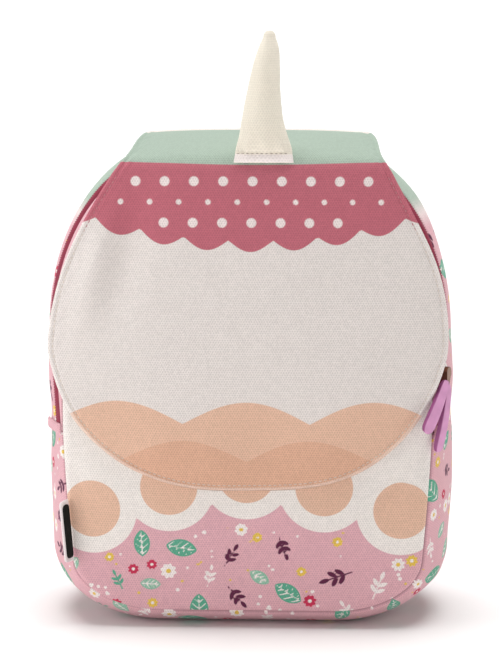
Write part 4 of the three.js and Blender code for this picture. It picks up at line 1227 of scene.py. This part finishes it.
# One strap: a padded bar down a smooth curve, webbing looped round the two bars of the buckle, each a
# straight run and an arc, and a tab that spreads to its seam as a low pillow
def buildStrap(name, side):
    def place(row, half):
        return np.array([side * row[0], backFace + bag["gap"] + half + row[2], row[1]])

    padHalf = strap["padThick"] / 2
    end = place(strap["padEnd"], padHalf)
    far = place(strap["tabEnd"], layer + strap["tabThick"] / 2)
    down = unit(far - end)
    rows = [place(row, padHalf) for row in strap["padLine"]]
    t, angle = rowSteps(strap["padGrid"][0]), columnSteps(strap["padGrid"][1], 0, 2 * np.pi)
    line = evenly(curveThrough([*rows, end - down * strap["straight"], end]), t[:, 0])
    tangent = unit(np.gradient(line, axis=0))
    out = unit(-np.cross([1.0, 0, 0], tangent))
    across = unit(np.cross(out, tangent))
    ends = pillow(2 * t - 1, strap["padRound"])
    sizes = zip((np.cos(angle), np.sin(angle)), strap["padSquare"], (strap["padWidth"] / 2, padHalf),
                strap["padInset"], strap["padEnds"])
    u, v = (squarer(wave, power) * (half - inset) * (least + (1 - least) * ends)
            for wave, power, half, inset, least in sizes)
    grids = barGrids(line, across[:, None], out, u, v)
    pad = makePiece(f"shoulderPad{name}", grids, strapCanvas)
    inflate(pad)

    outWay = unit(np.array([0, 1.0, 0]) - down * down[1])
    acrossWay = np.cross(down, outWay)

    def webbing(label, path, count):
        path = evenly(path, np.linspace(0, 1, count))
        grids = webbingGrids(end + path[:, :1] * down + path[:, 1:] * outWay, acrossWay)
        return makePiece(f"{label}{name}", grids, webbingCloth)

    first, second = strap["buckleAt"] + strap["bar"], strap["buckleAt"] + strap["slotTo"]
    tabStart = np.linalg.norm(far - end) - strap["tab"]
    keeperPath = np.concatenate([[[bag["gap"], -layer]], arcPoints(first, layer, -np.pi / 2, np.pi / 2),
                                 [[bag["gap"], layer]]])
    keeper = webbing("padKeeper", keeperPath, strap["keeperRows"])
    webPath = np.concatenate([[[tabStart - bag["gap"], -layer]],
                              arcPoints(second, layer, -np.pi / 2, -3 * np.pi / 2),
                              [[second + strap["tail"], layer]]])
    web = webbing("strapWebbing", webPath, strap["webRows"])

    t, w = rowSteps(strap["tabGrid"]), columnSteps(strap["tabGrid"], -1)
    half = strap["webWidth"] / 2 + strap["tabSpread"] * t
    plump = strap["tabThick"] / 2 * pillow(w, strap["tabRound"][0]) * pillow(2 * t - 1, strap["tabRound"][1])
    middle = end + (tabStart + t * strap["tab"])[..., None] * down + (w * half)[..., None] * acrossWay
    outer, inner = (middle + (sign * plump - layer)[..., None] * outWay for sign in (1, -1))
    wall = clothWall(outer, inner, asPoints(w * half, t * strap["tab"]), {})
    tab = makePiece(f"strapTab{name}", wall, pinkPlain)
    for piece, node in ((pad, "shoulder_pad"), (keeper, "pad_keeper"), (web, "strap_webbing"),
                        (tab, "strap_tab")):
        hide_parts(f"{node}_{name.lower()}")
    return {"web": web, "keeper": keeper, "tab": tab,
            "webLength": lineLength(webPath), "keeperLength": lineLength(keeperPath)}


straps = {name: buildStrap(name, side) for name, side in (("Right", 1), ("Left", -1))}
print("straps made")


# Construction pieces that stay: their edges are rounded and they take a material
kept = {"weld": 0.01, "segments": 3, "pieces": [
    ("strap_buckle_right", buckleAcetal, 0.7), ("strap_buckle_left", buckleAcetal, 0.7),
    ("zip_slider", sliderZinc, 0.5)]}
for nodeName, material, width in kept["pieces"]:
    node = nodes[nodeName]
    node.data.materials.clear()
    node.data.materials.append(material)
    weld = node.modifiers.new("weld", "WELD")
    weld.merge_threshold = kept["weld"] * mm
    bevel = node.modifiers.new("rounded", "BEVEL")
    bevel.width = width * mm
    bevel.segments = kept["segments"]
    bevel.limit_method = "ANGLE"

for piece, node in (
        (gussetLower, "gusset_lower"), (gussetBack, "gusset_back_strip"), (gussetFront, "gusset_front_strip"),
        (zipTape, "zip_tape"), (coil, "zip_coil"), (front, "front_panel"), (back, "back_panel"),
        (flapCloth, "flap"), (hornCloth, "horn"), (pullPiece, "zip_pull"), (ribbon, "side_label")):
    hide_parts(node)
# Floor and light: a white sheet that curves up far away on all sides, an even sky, a lamp straight above
# that leaves a short dark shadow under the bag, a soft box near the front left whose light falls off to the
# right, and a faint lamp on each side. Lengths of the floor are in metres.
stage = {
    "floorReach": 20, "flatReach": 6, "floorRise": 3.5, "floorSteps": 41, "floorColor": "#f2f1f0",
    "floorRoughness": 0.95, "sky": 0.18, "skyColor": (1, 1, 1, 1), "aim": (0, -30, 150),
    "lamps": [
        {"name": "overhead", "kind": "SUN", "energy": 3.2, "angle": 46, "from": (0, 0.05, 1)},
        {"name": "softBox", "kind": "AREA", "energy": 0.5, "size": 320, "from": (-460, -270, 190)},
        {"name": "left", "kind": "SUN", "energy": 0.9, "angle": 70, "from": (-1, -0.05, 0.3)},
        {"name": "right", "kind": "SUN", "energy": 0.7, "angle": 70, "from": (1, 0.1, 0.3)}],
}
steps = stage["floorSteps"]
reach = np.linspace(-stage["floorReach"], stage["floorReach"], steps)
floorX, floorY = np.meshgrid(reach, reach)
t = clamp((np.hypot(floorX, floorY) - stage["flatReach"]) / (stage["floorReach"] - stage["flatReach"]))
floorPoints = asPoints(floorX, floorY, stage["floorRise"] * eased(t)).reshape(-1, 3)
floorQuads = cellCorners(np.arange(steps ** 2).reshape(steps, -1))
floorMesh = bpy.data.meshes.new("floorSweep")
floorMesh.from_pydata(floorPoints.tolist(), [], floorQuads.tolist())
# Rolled paper, uncoated: dead matt, with no shine at all
floorMesh.materials.append(newMaterial("rolledPaperMatte", {
    "Base Color": hexColor(stage["floorColor"]), "Roughness": stage["floorRoughness"],
    "Specular IOR Level": 0.0})[0])
floor = putIn("floorSweep", floorMesh)

world = bpy.data.worlds.new("studio")
bpy.context.scene.world = world
world.use_nodes = True
sky = world.node_tree.nodes["Background"]
sky.inputs["Color"].default_value = stage["skyColor"]
sky.inputs["Strength"].default_value = stage["sky"]
for row in stage["lamps"]:
    lampData = bpy.data.lights.new(row["name"], row["kind"])
    lampData.energy = row["energy"]
    lamp = putIn(row["name"], lampData)
    toLamp = Vector(row["from"])
    if row["kind"] == "AREA":
        lampData.size = row["size"] * mm
        lamp.location = toLamp * mm
        toLamp = toLamp - Vector(stage["aim"])
    else:
        lampData.angle = np.radians(row["angle"])
    lamp.rotation_euler = toLamp.to_track_quat("Z", "Y").to_euler()

# Camera: the photograph's angle and distance
view = {"elevation": 9.0, "azimuth": 2.2, "distance": 1400.0, "aim": (0, 0, 171.0), "focalPixels": 2299.0,
        "tall": 669, "sensor": 36}
e, a = np.radians(view["elevation"]), np.radians(view["azimuth"])
toCamera = Vector((np.sin(a) * np.cos(e), -np.cos(a) * np.cos(e), np.sin(e)))
cameraData = bpy.data.cameras.new("camera")
cameraData.sensor_width = view["sensor"]
cameraData.lens = view["sensor"] * view["focalPixels"] / view["tall"]
camera = putIn("camera", cameraData)
camera.location = (Vector(view["aim"]) + toCamera * view["distance"]) * mm
camera.rotation_euler = toCamera.to_track_quat("Z", "Y").to_euler()
bpy.context.scene.camera = camera
bpy.context.scene.view_settings.view_transform = "Standard"
print("stage set")
